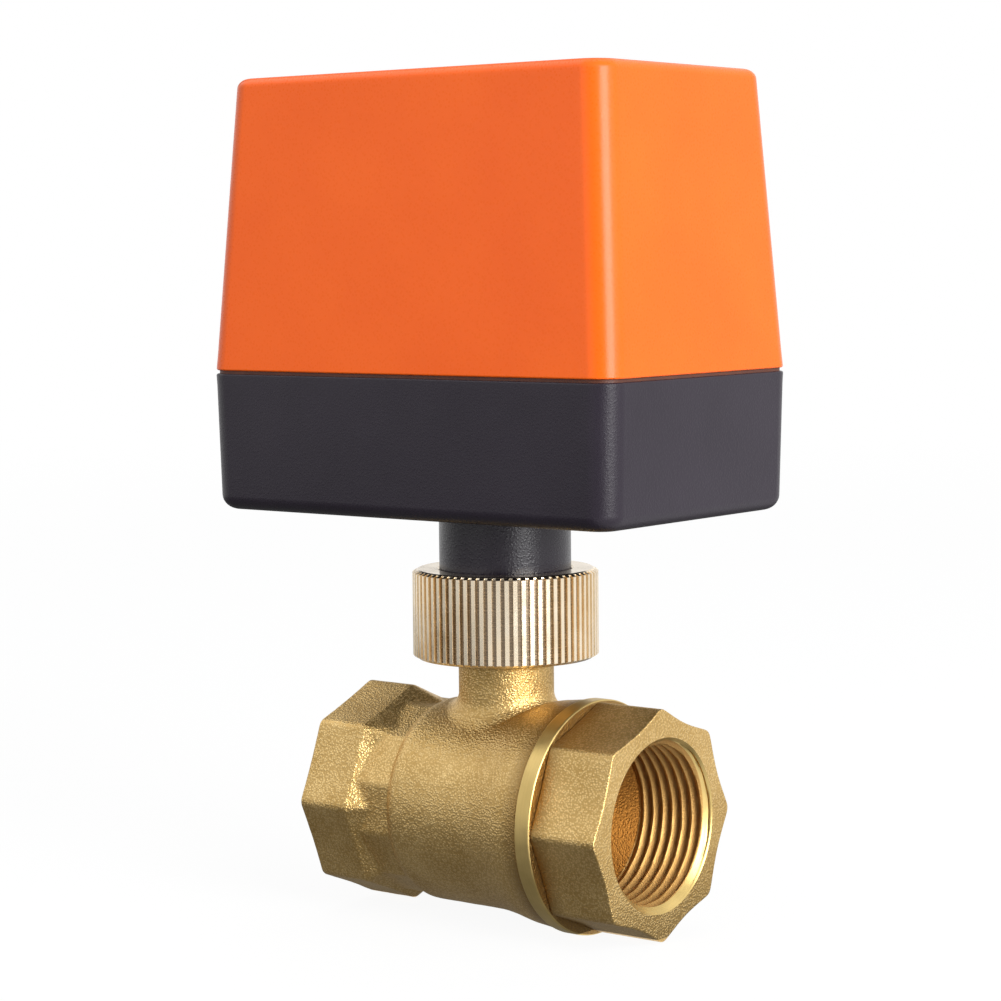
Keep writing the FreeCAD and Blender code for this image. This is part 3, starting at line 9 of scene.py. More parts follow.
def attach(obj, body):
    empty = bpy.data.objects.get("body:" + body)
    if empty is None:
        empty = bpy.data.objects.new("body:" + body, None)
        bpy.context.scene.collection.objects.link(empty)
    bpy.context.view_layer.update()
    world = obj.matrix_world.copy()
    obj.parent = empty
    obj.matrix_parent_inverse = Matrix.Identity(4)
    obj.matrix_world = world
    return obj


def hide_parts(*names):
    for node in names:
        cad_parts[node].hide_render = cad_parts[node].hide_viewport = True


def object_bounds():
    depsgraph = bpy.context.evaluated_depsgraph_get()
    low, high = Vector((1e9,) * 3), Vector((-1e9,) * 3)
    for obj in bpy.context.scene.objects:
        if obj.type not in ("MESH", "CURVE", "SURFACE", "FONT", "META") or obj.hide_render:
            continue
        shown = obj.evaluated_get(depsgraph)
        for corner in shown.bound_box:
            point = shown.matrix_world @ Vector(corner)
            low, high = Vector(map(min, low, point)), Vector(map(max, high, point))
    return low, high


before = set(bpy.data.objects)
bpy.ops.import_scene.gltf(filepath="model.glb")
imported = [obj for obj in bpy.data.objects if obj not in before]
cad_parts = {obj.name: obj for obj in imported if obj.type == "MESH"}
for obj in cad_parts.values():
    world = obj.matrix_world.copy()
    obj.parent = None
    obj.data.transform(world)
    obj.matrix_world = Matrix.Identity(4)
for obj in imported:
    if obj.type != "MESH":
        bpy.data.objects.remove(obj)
cad_box = [list(corner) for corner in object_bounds()]
MM = 0.001

# Camera: a long lens 44 cm from the stem's axis, level with the orange cover and tipped down 5 degrees.
STEM = 26.96
STEM_X = STEM * MM
CAMERA_TURN = math.radians(37.967)
CAMERA_TIP = math.radians(5.047)
CAMERA_ROLL = math.radians(-0.590)
CAMERA_AWAY, CAMERA_ASIDE, CAMERA_AIM = 444.336 * MM, 0.645 * MM, 48.228 * MM
FOCAL_PIXELS, PHOTO_PIXELS = 2837.06, 1001
SENSOR_MM = 36
forward = Vector((math.sin(CAMERA_TURN), -math.cos(CAMERA_TURN), 0))
back = math.cos(CAMERA_TIP) * forward + Vector((0, 0, math.sin(CAMERA_TIP)))
level = Vector((math.cos(CAMERA_TURN), math.sin(CAMERA_TURN), 0))
upright = back.cross(level)
right = math.cos(CAMERA_ROLL) * level + math.sin(CAMERA_ROLL) * upright
top = -math.sin(CAMERA_ROLL) * level + math.cos(CAMERA_ROLL) * upright
camera = bpy.data.objects.new("camera", bpy.data.cameras.new("camera"))
camera.data.sensor_width = SENSOR_MM
camera.data.lens = SENSOR_MM * FOCAL_PIXELS / PHOTO_PIXELS
camera.data.clip_start = 0.01
place = Vector((STEM_X, 0, CAMERA_AIM)) - level * CAMERA_ASIDE + back * CAMERA_AWAY
camera.matrix_world = Matrix.Translation(place) @ Matrix((right, top, back)).transposed().to_4x4()
bpy.context.scene.collection.objects.link(camera)
bpy.context.scene.camera = camera


# Studio: a white floor under a white surround, with four soft boxes. Cards that only mirrors see,
# grey but for one bright one, keep the brass and the plastic from reflecting white all round.
def add_node(tree, kind, inputs=None, **settings):
    made = tree.nodes.new(kind)
    for key, value in settings.items():
        setattr(made, key, value)
    for key, value in (inputs or {}).items():
        if isinstance(value, bpy.types.NodeSocket):
            tree.links.new(value, made.inputs[key])
        else:
            made.inputs[key].default_value = value
    return made


def maths(tree, operation, a, b=0.0, clamp=False):
    return add_node(tree, "ShaderNodeMath", {0: a, 1: b}, operation=operation, use_clamp=clamp).outputs[0]


def object_place(tree):
    return add_node(tree, "ShaderNodeTexCoord").outputs["Object"]


def spread(tree, value, to_low, to_high, low=0.0, high=1.0, **settings):
    """Takes the range from low to high to the range from to_low to to_high."""
    inputs = {0: value, 1: low, 2: high, 3: to_low, 4: to_high}
    return add_node(tree, "ShaderNodeMapRange", inputs, **settings).outputs[0]


def seen_directly(tree):
    """1 for what the camera, a mirror or clear glass sees."""
    path = add_node(tree, "ShaderNodeLightPath").outputs
    either = maths(tree, "ADD", path["Is Camera Ray"], path["Is Glossy Ray"])
    return maths(tree, "ADD", either, path["Is Transmission Ray"], True)


FILL_TINT, FILL_STRENGTH = (0.96, 0.98, 1.0, 1), 0.46
world = bpy.data.worlds.new("surround")
bpy.context.scene.world = world
world.use_nodes = True
tree = world.node_tree
tree.nodes.clear()
fill = add_node(tree, "ShaderNodeBackground", {"Color": FILL_TINT, "Strength": FILL_STRENGTH})
white = add_node(tree, "ShaderNodeBackground", {"Color": (1, 1, 1, 1), "Strength": 1.0})
ends = {0: seen_directly(tree), 1: fill.outputs[0], 2: white.outputs[0]}
mixed = add_node(tree, "ShaderNodeMixShader", ends)
add_node(tree, "ShaderNodeOutputWorld", {"Surface": mixed.outputs[0]})


def facing_place(centre, facing):
    """A place at a centre, whose own Z axis points in a direction."""
    return Matrix.Translation(centre) @ Vector(facing).to_track_quat("Z", "Y").to_matrix().to_4x4()


def flat_panel(name, centre, facing, width, height):
    """A rectangle at a place, facing a direction."""
    mesh = bpy.data.meshes.new(name)
    x, y = width / 2, height / 2
    mesh.from_pydata([(-x, -y, 0), (x, -y, 0), (x, y, 0), (-x, y, 0)], [], [(0, 1, 2, 3)])
    panel = bpy.data.objects.new(name, mesh)
    panel.matrix_world = facing_place(centre, facing)
    bpy.context.scene.collection.objects.link(panel)
    return panel


# The floor glows white to the camera, a little less near the object, where it takes the shadow.
FLOOR_Z, FLOOR_SIZE = cad_box[0][2], 12
GLOW_NEAR, NEAR_END, FAR_START = 0.93, 0.2, 1.2
floor = flat_panel("floor", (STEM_X, 0, FLOOR_Z), (0, 0, 1), FLOOR_SIZE, FLOOR_SIZE)
floor_white = bpy.data.materials.new("floor_white")
floor_white.use_nodes = True
tree = floor_white.node_tree
tree.nodes.clear()
matt = add_node(tree, "ShaderNodeBsdfDiffuse", {"Color": (0.95, 0.95, 0.95, 1)})
glow = add_node(tree, "ShaderNodeEmission", {"Color": (1, 1, 1, 1), "Strength": seen_directly(tree)})
away = add_node(tree, "ShaderNodeVectorMath", {0: object_place(tree)}, operation="LENGTH").outputs["Value"]
share = spread(tree, away, GLOW_NEAR, 1.0, NEAR_END, FAR_START, interpolation_type="SMOOTHSTEP")
glow_share = add_node(tree, "ShaderNodeMixShader", {0: share, 1: matt.outputs[0], 2: glow.outputs[0]})
add_node(tree, "ShaderNodeOutputMaterial", {"Surface": glow_share.outputs[0]})
floor.data.materials.append(floor_white)

# The cards round the object: the direction from it, the width, the height and the grey, 1 being white.
CARDS = (
    ("card_left", (-0.72, -0.62, 0.26), 1.05, 0.78, 0.86),
    ("card_upper_left", (-0.62, -0.12, 0.78), 0.60, 0.50, 1.8),
    ("card_behind", (-0.61, 0.52, 0.60), 0.62, 0.62, 0.36),
    ("card_front", (0.50, -0.85, 0.05), 0.62, 0.60, 0.08),
)
CARD_AWAY = 0.8
OBJECT_MIDDLE = Vector((STEM_X, 0, 0.03))
FLOOR_CARD_AT = (-0.115, -0.05, FLOOR_Z + 0.001)


def mirror_card(name, centre, facing, width, height, grey):
    """A panel of one grey that only mirrors see."""
    card = flat_panel(name, centre, facing, width, height)
    painted = bpy.data.materials.new("card_grey")
    painted.use_nodes = True
    tree = painted.node_tree
    tree.nodes.clear()
    glow = add_node(tree, "ShaderNodeEmission", {"Color": (1, 1, 1, 1), "Strength": grey})
    add_node(tree, "ShaderNodeOutputMaterial", {"Surface": glow.outputs[0]})
    card.data.materials.append(painted)
    card.visible_camera = False
    card.visible_diffuse = False
    card.visible_shadow = False


for name, way, width, height, grey in CARDS:
    centre = OBJECT_MIDDLE + CARD_AWAY * Vector(way).normalized()
    mirror_card(name, centre, -Vector(way), width, height, grey)
mirror_card("card_below", FLOOR_CARD_AT, (0, 0, 1), width=0.38, height=0.6, grey=0.20)

# The soft boxes: the place, the width, the height, the watts and whether mirrors see them.
SOFT_BOXES = (
    ("box_right", (0.95, -0.30, 0.36), 0.55, 0.75, 11.5, True),
    ("box_right_soft", (0.98, 0.05, 0.30), 0.80, 0.80, 6.5, False),
    ("box_front", (-0.35, -1.00, 0.40), 0.60, 0.60, 3.9, False),
    ("box_top", (-0.15, 0.25, 0.95), 0.60, 0.60, 2.2, False),
)
LAMP_AIM = Vector((STEM_X, 0, 0.045))
for name, centre, width, height, watts, mirrored in SOFT_BOXES:
    lamp = bpy.data.lights.new(name, "AREA")
    lamp.shape = "RECTANGLE"
    lamp.size, lamp.size_y, lamp.energy = width, height, watts
    box = bpy.data.objects.new(name, lamp)
    box.matrix_world = facing_place(centre, Vector(centre) - LAMP_AIM)
    box.visible_glossy = mirrored
    bpy.context.scene.collection.objects.link(box)
bpy.context.scene.view_settings.view_transform = "Standard"


# Valve body: one brass forging, shot-blasted, with a wrench octagon and a threaded port at the
# inlet, a round barrel over the ball, and the stem tower. Port, cavity and tower are machined.
def ring_points(xs, radii, angles):
    """Points (ring, angle, xyz) round the flow axis, with angle 0 straight up."""
    xs = np.broadcast_to(np.asarray(xs, float)[:, None], radii.shape)
    return np.stack([xs, radii * np.sin(angles), radii * np.cos(angles)], -1)


def skin_mesh(name, rings, capped):
    """A closed skin through rings of points, faces outwards. Its ends are filled when it is capped;
    otherwise the last ring joins the first."""
    rings = np.asarray(rings, float)
    count, around, _ = rings.shape
    n = np.arange(count * around).reshape(count, around)
    near = n[:-1] if capped else n
    far = n[1:] if capped else np.roll(n, -1, 0)
    faces = np.stack([near, np.roll(near, -1, 1), np.roll(far, -1, 1), far], -1).reshape(-1, 4).tolist()
    if capped:
        faces += [n[0][::-1].tolist(), n[-1].tolist()]
    mesh = bpy.data.meshes.new(name)
    mesh.from_pydata((rings.reshape(-1, 3) * MM).tolist(), [], faces)
    made = bmesh.new()
    made.from_mesh(mesh)
    if made.calc_volume(signed=True) < 0:
        mesh.flip_normals()
    made.free()
    return mesh


def turned_mesh(name, outline, steps=96, centre=(0.0, 0.0), hollow=False):
    """A body turned about an upright axis from (radius, height) points in mm, read from the bottom up
    on the outside. A hollow one's outline runs back down its bore. A radius or a height may also be
    a list with a value for each step."""
    a = np.linspace(0, math.tau, steps, endpoint=False)
    x, y = np.cos(a), np.sin(a)
    rings = [
        np.stack([centre[0] + r * x, centre[1] + r * y, np.broadcast_to(z, a.shape)], -1)
        for r, z in outline
    ]
    return skin_mesh(name, rings, not hollow)


def block_mesh(name, low, high):
    made = bmesh.new()
    bmesh.ops.create_cube(made, size=1)
    for v in made.verts:
        v.co = [(low[i] + high[i]) / 2 + v.co[i] * (high[i] - low[i]) for i in range(3)]
    bmesh.ops.scale(made, vec=(MM, MM, MM), verts=made.verts[:])
    mesh = bpy.data.meshes.new(name)
    made.to_mesh(mesh)
    made.free()
    return mesh


def piece(name, mesh):
    found = bpy.data.objects.new(name, mesh)
    bpy.context.scene.collection.objects.link(found)
    return found


def settle(found):
    """Makes the piece's modifiers part of its mesh."""
    bpy.context.view_layer.update()
    result = bpy.data.meshes.new_from_object(found.evaluated_get(bpy.context.evaluated_depsgraph_get()))
    found.modifiers.clear()
    found.data = result


def carve(target, mesh, operation):
    """Joins a mesh to the piece, or cuts it out, and leaves one closed skin."""
    tool = piece("tool", mesh)
    step = target.modifiers.new("carve", "BOOLEAN")
    step.operation = operation
    step.solver = "MANIFOLD"
    step.object = tool
    settle(target)
    bpy.data.objects.remove(tool)


def soften(found, degrees):
    """Smooth shading, with the turned and cut edges kept crisp and the flat faces kept flat."""
    found.data.polygons.foreach_set("use_smooth", [True] * len(found.data.polygons))
    found.data.set_sharp_from_angle(angle=math.radians(degrees))
    step = found.modifiers.new("flats", "WEIGHTED_NORMAL")
    step.keep_sharp = True
    settle(found)
    return found


def higher(a, b, soft):
    """The larger of two surfaces, with a fillet where they meet."""
    h = np.clip(0.5 + 0.5 * (a - b) / soft, 0, 1)
    return b * (1 - h) + a * h + soft * h * (1 - h)


def polygon_radius(angles, sides, corner, edge, hollow=0.0, turn=0.0):
    """The radius of a wrench polygon with rounded corners and slightly hollow flats."""
    half = math.pi / sides
    flat = corner * math.cos(half)
    a = np.abs((angles - turn + half) % (2 * half) - half)
    centre = (flat - edge) / math.cos(half)
    bend = math.atan2(edge * math.sin(half), centre + edge * math.cos(half))
    rounded = centre * np.cos(a) + np.sqrt(np.maximum(edge**2 - (centre * np.sin(a)) ** 2, 0))
    across = np.tan(half - a) / math.tan(half - bend)
    dip = hollow * np.clip(1 - across**2, 0, 1) ** 1.5
    return np.where(a < bend, rounded, (flat - dip) / np.cos(half - a))


def edge_drop(x, edge):
    """How far a rounded end has fallen back, at a distance from the end face."""
    gone = np.clip(1 - np.asarray(x) / edge, 0, 1)
    return edge * (1 - np.sqrt(1 - gone**2))


def edge_steps(count):
    """Steps from 0 to 1 across a rounded edge, closest together where it starts."""
    return 1 - np.cos(np.linspace(0, math.pi / 2, count))


PORT_MAJOR, PORT_PITCH, PORT_MOUTH, PORT_DEPTH = 13.22, 1.814, 13.5, 13.2
INLET_MINOR, OUTLET_MINOR, PORT_CREST = 12.06, 12.26, 0.3
BORE = 7.5


def port_radius(depth, angles, hand, minor):
    """The threaded port's radius at a depth from its face, cut as a helix with a chamfered mouth."""
    depth = np.asarray(depth, float)[:, None]
    turn = depth / PORT_PITCH + hand * angles / math.tau
    near = np.abs((turn + 0.5) % 1 - 0.5) * PORT_PITCH
    cut = np.clip((near - PORT_CREST / 2) / (PORT_PITCH / 2 - PORT_CREST), 0, 1)
    cut *= np.clip((PORT_DEPTH - depth) / (0.8 * PORT_PITCH), 0, 1)
    return np.maximum(minor + (PORT_MAJOR - minor) * cut, PORT_MOUTH - depth)


# Points round the flow axis, closer together on the octagon's eight rounded corners.
CORNER_SPAN, SIDE_SPAN = 4.5, 45.0
on_corner = np.linspace(-CORNER_SPAN, CORNER_SPAN, 15)
on_flat = np.linspace(CORNER_SPAN, SIDE_SPAN - CORNER_SPAN, 22)[1:-1]
angles = np.radians((np.concatenate([on_corner, on_flat]) + SIDE_SPAN * np.arange(8)[:, None]).ravel())


def plain_rings(outline):
    """Round rings from (x, radius) points along the flow axis."""
    return ring_points([x for x, r in outline], np.array([[r] * len(angles) for x, r in outline]), angles)


FACE_X, BODY_END, BODY_EDGE = -1.44, 42.16, 0.35
BARREL, BARREL_START, BARREL_EDGE, INLET_EDGE = 16.25, 14.4, 2.6, 0.55
SHOULDER_START, SHOULDER_TOP_FALL, SHOULDER_FALL = 9.2, 0.36, 0.75
WAIST_FILLET, BARREL_FILLET = 0.25, 0.35
OUTLINE_X = [20.0, 26.96, 29.96, 31.5, 33.0, 34.6, 36.0, 37.4, 38.5, 40.0, BODY_END]
OUTLINE_R = [BARREL, BARREL, 16.27, 16.37, 16.58, 16.88, 17.18, 17.46, 17.58, 17.75, 18.0]


def body_radius(x):
    """The forging's outside at one place along the flow, for every angle round it."""
    depth = x - FACE_X
    octagon = polygon_radius(angles, 8, corner=17.6, edge=1.7, hollow=0.12) - edge_drop(depth, INLET_EDGE)
    off_top = np.degrees(np.minimum(angles, math.tau - angles))
    fall = np.interp(off_top, (40, 52), (SHOULDER_TOP_FALL, SHOULDER_FALL))
    octagon = octagon - fall * max(depth - SHOULDER_START, 0)
    waist = polygon_radius(angles, 12, corner=15.65, edge=0.8, turn=math.radians(15))
    found = higher(octagon, waist, WAIST_FILLET)
    if x > BARREL_START:
        barrel = np.interp(x, OUTLINE_X, OUTLINE_R) - edge_drop(x - BARREL_START, BARREL_EDGE)
        found = higher(found, np.full_like(angles, barrel), BARREL_FILLET)
    return found - edge_drop(BODY_END - x, BODY_EDGE)


stations = np.concatenate([
    FACE_X + INLET_EDGE * edge_steps(8), np.linspace(0, 7.6, 8)[1:], np.linspace(7.6, 16.6, 42)[1:],
    np.linspace(16.6, 41.7, 43)[1:], (41.85, 41.95, 42.03, 42.1, BODY_END),
])
outside = np.array([body_radius(x) for x in stations])

# The forging's slow unevenness: waves a millimetre, height, and where it ends before the collar.
WAVES, WAVE_HEIGHT, WAVE_END = 0.55, 0.035, 1.5
spots = ring_points(stations, outside, angles) * WAVES
uneven = np.array([[noise.noise(Vector(spot)) for spot in ring] for ring in spots])
outside += WAVE_HEIGHT * uneven * np.clip((BODY_END - stations) / WAVE_END, 0, 1)[:, None]

INSIDE = (
    (BODY_END, 14.48), (33.76, 14.48), (33.76, 13.1), (19.36, 13.1), (19.36, 11.33), (14.76, 11.33),
    (14.76, BORE), (14.16, BORE),
)
depths = np.linspace(PORT_DEPTH, 0, 112)
inlet_bore = ring_points(depths + FACE_X, port_radius(depths, angles, -1, INLET_MINOR), angles)
skin = np.concatenate([ring_points(stations, outside, angles), plain_rings(INSIDE), inlet_bore])
valve_body = piece("forged_body", skin_mesh("forged_body", skin, False))

# The stem tower stands in a fillet on the barrel. The stem's hole runs down through it, and the
# neck's keys drop into two slots in its head.
TOWER, TOWER_HEAD, TOWER_ROOT, TOWER_TOP, TOWER_BORE = 7.5, 11.4, 2.6, 32.0, 4.2
TOWER_STEPS, TOWER_SUNK = 144, 0.06
KEY_SLOT_HALF, KEY_SLOT_IN, KEY_SLOT_OUT, KEY_SLOT_LOW = 1.6, 8.7, 12.4, 30.5
STEM_AT = (STEM, 0)
round_tower = np.linspace(0, math.tau, TOWER_STEPS, endpoint=False)


def barrel_height(reach):
    """The barrel's top under a circle round the stem's axis."""
    return np.sqrt(BARREL**2 - (reach * np.sin(round_tower)) ** 2)


tower = []
for bend in np.linspace(0, math.pi / 2, 12):
    reach = TOWER + TOWER_ROOT * (1 - math.sin(bend))
    tower.append((reach, barrel_height(reach) - TOWER_SUNK + TOWER_ROOT * (1 - math.cos(bend))))
tower += [(TOWER, 19.6), (TOWER, 22.2), (7.62, 22.75), (7.95, 23.2), (11.1, 26.35), (TOWER_HEAD, 26.7)]
tower += [(TOWER_HEAD, 31.5), (TOWER_HEAD - 0.4, TOWER_TOP), (TOWER_BORE, TOWER_TOP), (TOWER_BORE, 14.4)]
tower += [(9.2, barrel_height(TOWER + TOWER_ROOT) - 1.2)]
carve(valve_body, turned_mesh("tower", tower, TOWER_STEPS, STEM_AT, hollow=True), "UNION")
STEM_HOLE = (
    (5.9, 6), (5.9, 15.2), (4.04, 15.2), (4.04, 26.6), (7.2, 26.6), (7.2, 31.5), (8.5, 31.5), (8.5, 34),
)
carve(valve_body, turned_mesh("stem_hole", STEM_HOLE, 96, STEM_AT), "DIFFERENCE")
for side in (-1, 1):
    y0, y1 = sorted((side * KEY_SLOT_IN, side * KEY_SLOT_OUT))
    low, high = (STEM - KEY_SLOT_HALF, y0, KEY_SLOT_LOW), (STEM + KEY_SLOT_HALF, y1, TOWER_TOP + 2)
    carve(valve_body, block_mesh("key_slot", low, high), "DIFFERENCE")
soften(valve_body, 32)


# Surface effects and finishes that several pieces share.
def new_group(kind, name, inputs, outputs):
    """An empty node group with named sockets, and the sockets of its input and output nodes."""
    group = bpy.data.node_groups.new(name, kind)
    for way, sockets in (("INPUT", inputs), ("OUTPUT", outputs)):
        for label, socket in sockets.items():
            group.interface.new_socket(label, in_out=way, socket_type="NodeSocket" + socket)
    return group, group.nodes.new("NodeGroupInput").outputs, group.nodes.new("NodeGroupOutput").inputs


def waves_for(tree, size):
    """A texture's scale for features of a size in mm."""
    return maths(tree, "DIVIDE", 1000.0, size)


def weighted(tree, first, first_part, second, second_part):
    """The sum of two masks, each times its part, and at most 1."""
    left = maths(tree, "MULTIPLY", first, first_part)
    return maths(tree, "ADD", left, maths(tree, "MULTIPLY", second, second_part), True)


GRAIN, got, give = new_group(
    "ShaderNodeTree", "blasted_grain", {"Size": "Float"}, {"Height": "Float", "Pits": "Float"},
)
fine = {"Vector": object_place(GRAIN), "Scale": waves_for(GRAIN, got["Size"])}
cells = add_node(GRAIN, "ShaderNodeTexVoronoi", {**fine, "Randomness": 0.9}, feature="F1")
wide = {**fine, "Scale": maths(GRAIN, "MULTIPLY", fine["Scale"], 0.6)}
lumps = add_node(GRAIN, "ShaderNodeTexNoise", {**wide, "Detail": 2.0}).outputs[0]
domes = spread(GRAIN, cells.outputs["Distance"], 1.0, 0.0, 0.12, 0.62)
GRAIN.links.new(weighted(GRAIN, domes, 0.35, lumps, 0.4), give["Height"])
GRAIN.links.new(domes, give["Pits"])

CLOUDS, got, give = new_group("ShaderNodeTree", "tarnish_clouds", {"Size": "Float"}, {"Tone": "Float"})
drift = {"Vector": object_place(CLOUDS), "Scale": waves_for(CLOUDS, got["Size"])}
cloud = add_node(CLOUDS, "ShaderNodeTexNoise", {**drift, "Detail": 4.0, "Roughness": 0.55}).outputs[0]
CLOUDS.links.new(spread(CLOUDS, cloud, 0.0, 1.0, 0.33, 0.67), give["Tone"])


def off_axis(tree, a, b):
    """The distance from an axis, from the two coordinates across it."""
    squares = [maths(tree, "MULTIPLY", part, part) for part in (a, b)]
    return maths(tree, "SQRT", maths(tree, "ADD", *squares))


TURNING, got, give = new_group(
    "ShaderNodeTree", "turning_marks", {"Vector": "Vector", "Pitch": "Float"}, {"Height": "Float"},
)
parts = add_node(TURNING, "ShaderNodeSeparateXYZ", {0: got["Vector"]}).outputs
line = add_node(TURNING, "ShaderNodeCombineXYZ", {0: off_axis(TURNING, parts[0], parts[1]), 1: parts[2]})
rings = {"Vector": line.outputs[0], "Scale": waves_for(TURNING, got["Pitch"])}
marks = add_node(TURNING, "ShaderNodeTexNoise", {**rings, "Detail": 1.0, "Roughness": 0.5}).outputs[0]
TURNING.links.new(marks, give["Height"])


def grain_of(tree, size):
    """Fine grain, with cells of a size in mm."""
    return add_node(tree, "ShaderNodeGroup", {"Size": size}, node_tree=GRAIN).outputs


def clouds_of(tree, size):
    """A tone that drifts slowly, over a size in mm."""
    return add_node(tree, "ShaderNodeGroup", {"Size": size}, node_tree=CLOUDS).outputs["Tone"]


def lathe_marks(tree, axis, pitch):
    """Fine rings round an axis, given by the Mapping that stands it upright at the origin."""
    stood = add_node(tree, "ShaderNodeMapping", {"Vector": object_place(tree), **axis}).outputs[0]
    inputs = {"Vector": stood, "Pitch": pitch}
    return add_node(tree, "ShaderNodeGroup", inputs, node_tree=TURNING).outputs["Height"]


def new_material(name, **constants):
    found = bpy.data.materials.new(name)
    found.use_nodes = True
    shader = found.node_tree.nodes["Principled BSDF"]
    for key, value in constants.items():
        shader.inputs[key.replace("_", " ")].default_value = value
    return found, found.node_tree, shader


def colour_between(tree, share, first, second):
    """Mixes two colours. Either may also be the output of another node."""
    ends = [c if isinstance(c, bpy.types.NodeSocket) else (*c, 1) for c in (first, second)]
    return add_node(tree, "ShaderNodeMix", {0: share, 6: ends[0], 7: ends[1]}, data_type="RGBA").outputs[2]


def paint(tree, shader, colour, roughness, height, depth):
    """Feeds a finish to the shader: its colour, its roughness and its relief, with a depth in mm."""
    relief = add_node(tree, "ShaderNodeBump", {"Height": height, "Strength": 1.0, "Distance": depth * MM})
    tree.links.new(colour, shader.inputs["Base Color"])
    tree.links.new(roughness, shader.inputs["Roughness"])
    tree.links.new(relief.outputs[0], shader.inputs["Normal"])


def turned(name, axis, pitch, first, second, rough, depth, drift=4.0):
    """A lathe-turned metal: fine rings over a slow drift of tone."""
    found, tree, shader = new_material(name, Metallic=1.0)
    marks, clouds = lathe_marks(tree, axis, pitch), clouds_of(tree, drift)
    colour = colour_between(tree, weighted(tree, marks, 0.5, clouds, 0.4), first, second)
    paint(tree, shader, colour, spread(tree, clouds, *rough), marks, depth)
    return found


def dress(found, *materials):
    found.data.materials.clear()
    for material in materials:
        found.data.materials.append(material)


# Shot-blasted brass: matt and fine-grained. Painted shade darkens the grain's hollows and the metal beside
# the collar.
COLLAR_X, OCTAGON_X = BODY_END, 44.96
SHADE_START, SHADE_END = 1.4, 4.6
blasted_brass, tree, shader = new_material("blasted_brass", Metallic=1.0)
grain = grain_of(tree, 0.36)
# The grain's hollows are painted darker and its domes lighter, as painted shade on the relief, mixed with a
# slow random drift of tone.
share = weighted(tree, grain["Pits"], 0.6, clouds_of(tree, 9.0), 0.3)
metal = colour_between(tree, share, (0.51, 0.320, 0.103), (1.00, 0.735, 0.340))
# Painted shade: within a few mm of the collar the brass turns dark brown, standing in for the shade where
# body and connector meet.
along = add_node(tree, "ShaderNodeSeparateXYZ", {0: object_place(tree)}).outputs[0]
off_collar = maths(tree, "ABSOLUTE", maths(tree, "SUBTRACT", along, (COLLAR_X + OCTAGON_X) / 2 * MM))
clear = spread(tree, off_collar, 0.0, 1.0, SHADE_START * MM, SHADE_END * MM)
collar_shaded = colour_between(tree, clear, (0.36, 0.22, 0.075), metal)
paint(tree, shader, collar_shaded, spread(tree, grain["Pits"], 0.45, 0.36), grain["Height"], 0.155)

# Turned brass: smoother, with fine lathe lines round the flow axis.
FLOW_AXIS = {"Rotation": (0, math.pi / 2, 0)}
turned_brass = turned(
    "turned_brass", FLOW_AXIS, 0.16, (0.58, 0.41, 0.14), (0.88, 0.66, 0.27), (0.32, 0.44), 0.012, drift=5.0,
)

# Thread and bore: cut brass, painted darker and browner than the outside as shade inside the port, and
# darker still as painted shade in the thread's grooves.
bore_brass, tree, shader = new_material("bore_brass", Metallic=1.0)
parts = add_node(tree, "ShaderNodeSeparateXYZ", {0: object_place(tree)}).outputs
crest, root = (OUTLET_MINOR + 0.1) * MM, (PORT_MAJOR - 0.1) * MM
# Painted shade: this mask darkens the thread from its crests out to its roots.
groove = spread(tree, off_axis(tree, parts[1], parts[2]), 0.0, 1.0, crest, root)
light = colour_between(tree, lathe_marks(tree, FLOW_AXIS, 0.2), (0.47, 0.265, 0.080), (0.62, 0.38, 0.135))
shade = colour_between(tree, groove, light, (0.42, 0.23, 0.075))
paint(tree, shader, shade, spread(tree, groove, 0.5, 0.6), grain_of(tree, 0.3)["Height"], 0.06)

# Drilled bore behind the thread: rougher, and painted dark brown as shade deep inside the body.
drilled_brass, tree, shader = new_material("drilled_brass", Metallic=1.0)
clouds = clouds_of(tree, 4.0)
share = weighted(tree, lathe_marks(tree, FLOW_AXIS, 0.3), 0.5, clouds, 0.4)
shade = colour_between(tree, share, (0.20, 0.080, 0.014), (0.36, 0.16, 0.034))
paint(tree, shader, shade, spread(tree, clouds, 0.48, 0.6), grain_of(tree, 0.4)["Height"], 0.14)


def place_finish(found, rule, index):
    """Gives one of the piece's materials to the faces that a rule picks by centre and direction."""
    for face in found.data.polygons:
        if rule(face.center / MM, face.normal):
            face.material_index = index


def radius_of(p):
    return math.hypot(p.y, p.z)


def looks_in(p, n):
    """Whether a face looks towards the flow axis, or along it."""
    return n.y * p.y + n.z * p.z < 0.1


TURNED, THREADED, DRILLED = 1, 2, 3
PORT_WALL, INLET_MOUTH, INLET_THREAD = 13.6, FACE_X + 1.3, 12.3
CAVITY_START, CAVITY_END, CAVITY, CAVITY_TOP, TOWER_TURNED = 11.7, 41.5, 14.5, 14.2, 26.6


def in_inlet(p, n):
    return INLET_MOUTH < p.x < INLET_THREAD and radius_of(p) < PORT_WALL and looks_in(p, n)


def in_cavity(p, n):
    inner = radius_of(p) < CAVITY and p.z < CAVITY_TOP
    return CAVITY_START < p.x < CAVITY_END and inner and looks_in(p, n)


dress(valve_body, blasted_brass, turned_brass, bore_brass, drilled_brass)
place_finish(valve_body, lambda p, n: p.x < INLET_MOUTH and radius_of(p) < PORT_WALL, TURNED)
place_finish(valve_body, in_inlet, THREADED)
place_finish(valve_body, lambda p, n: p.z > TOWER_TURNED, TURNED)
place_finish(valve_body, in_cavity, DRILLED)
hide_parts("valve_body")
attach(valve_body, "valve")


# End connector: brass, screwed into the body from the outlet side, with a turned collar against
# the body, a wrench octagon and the second threaded port.
END_X, END_EDGE, ROOT_EDGE = 56.76, 0.28, 0.25
COLLAR, COLLAR_EDGE = 18.24, 0.35
FLAT_DIP, PORT_DIP = 0.12, 0.34


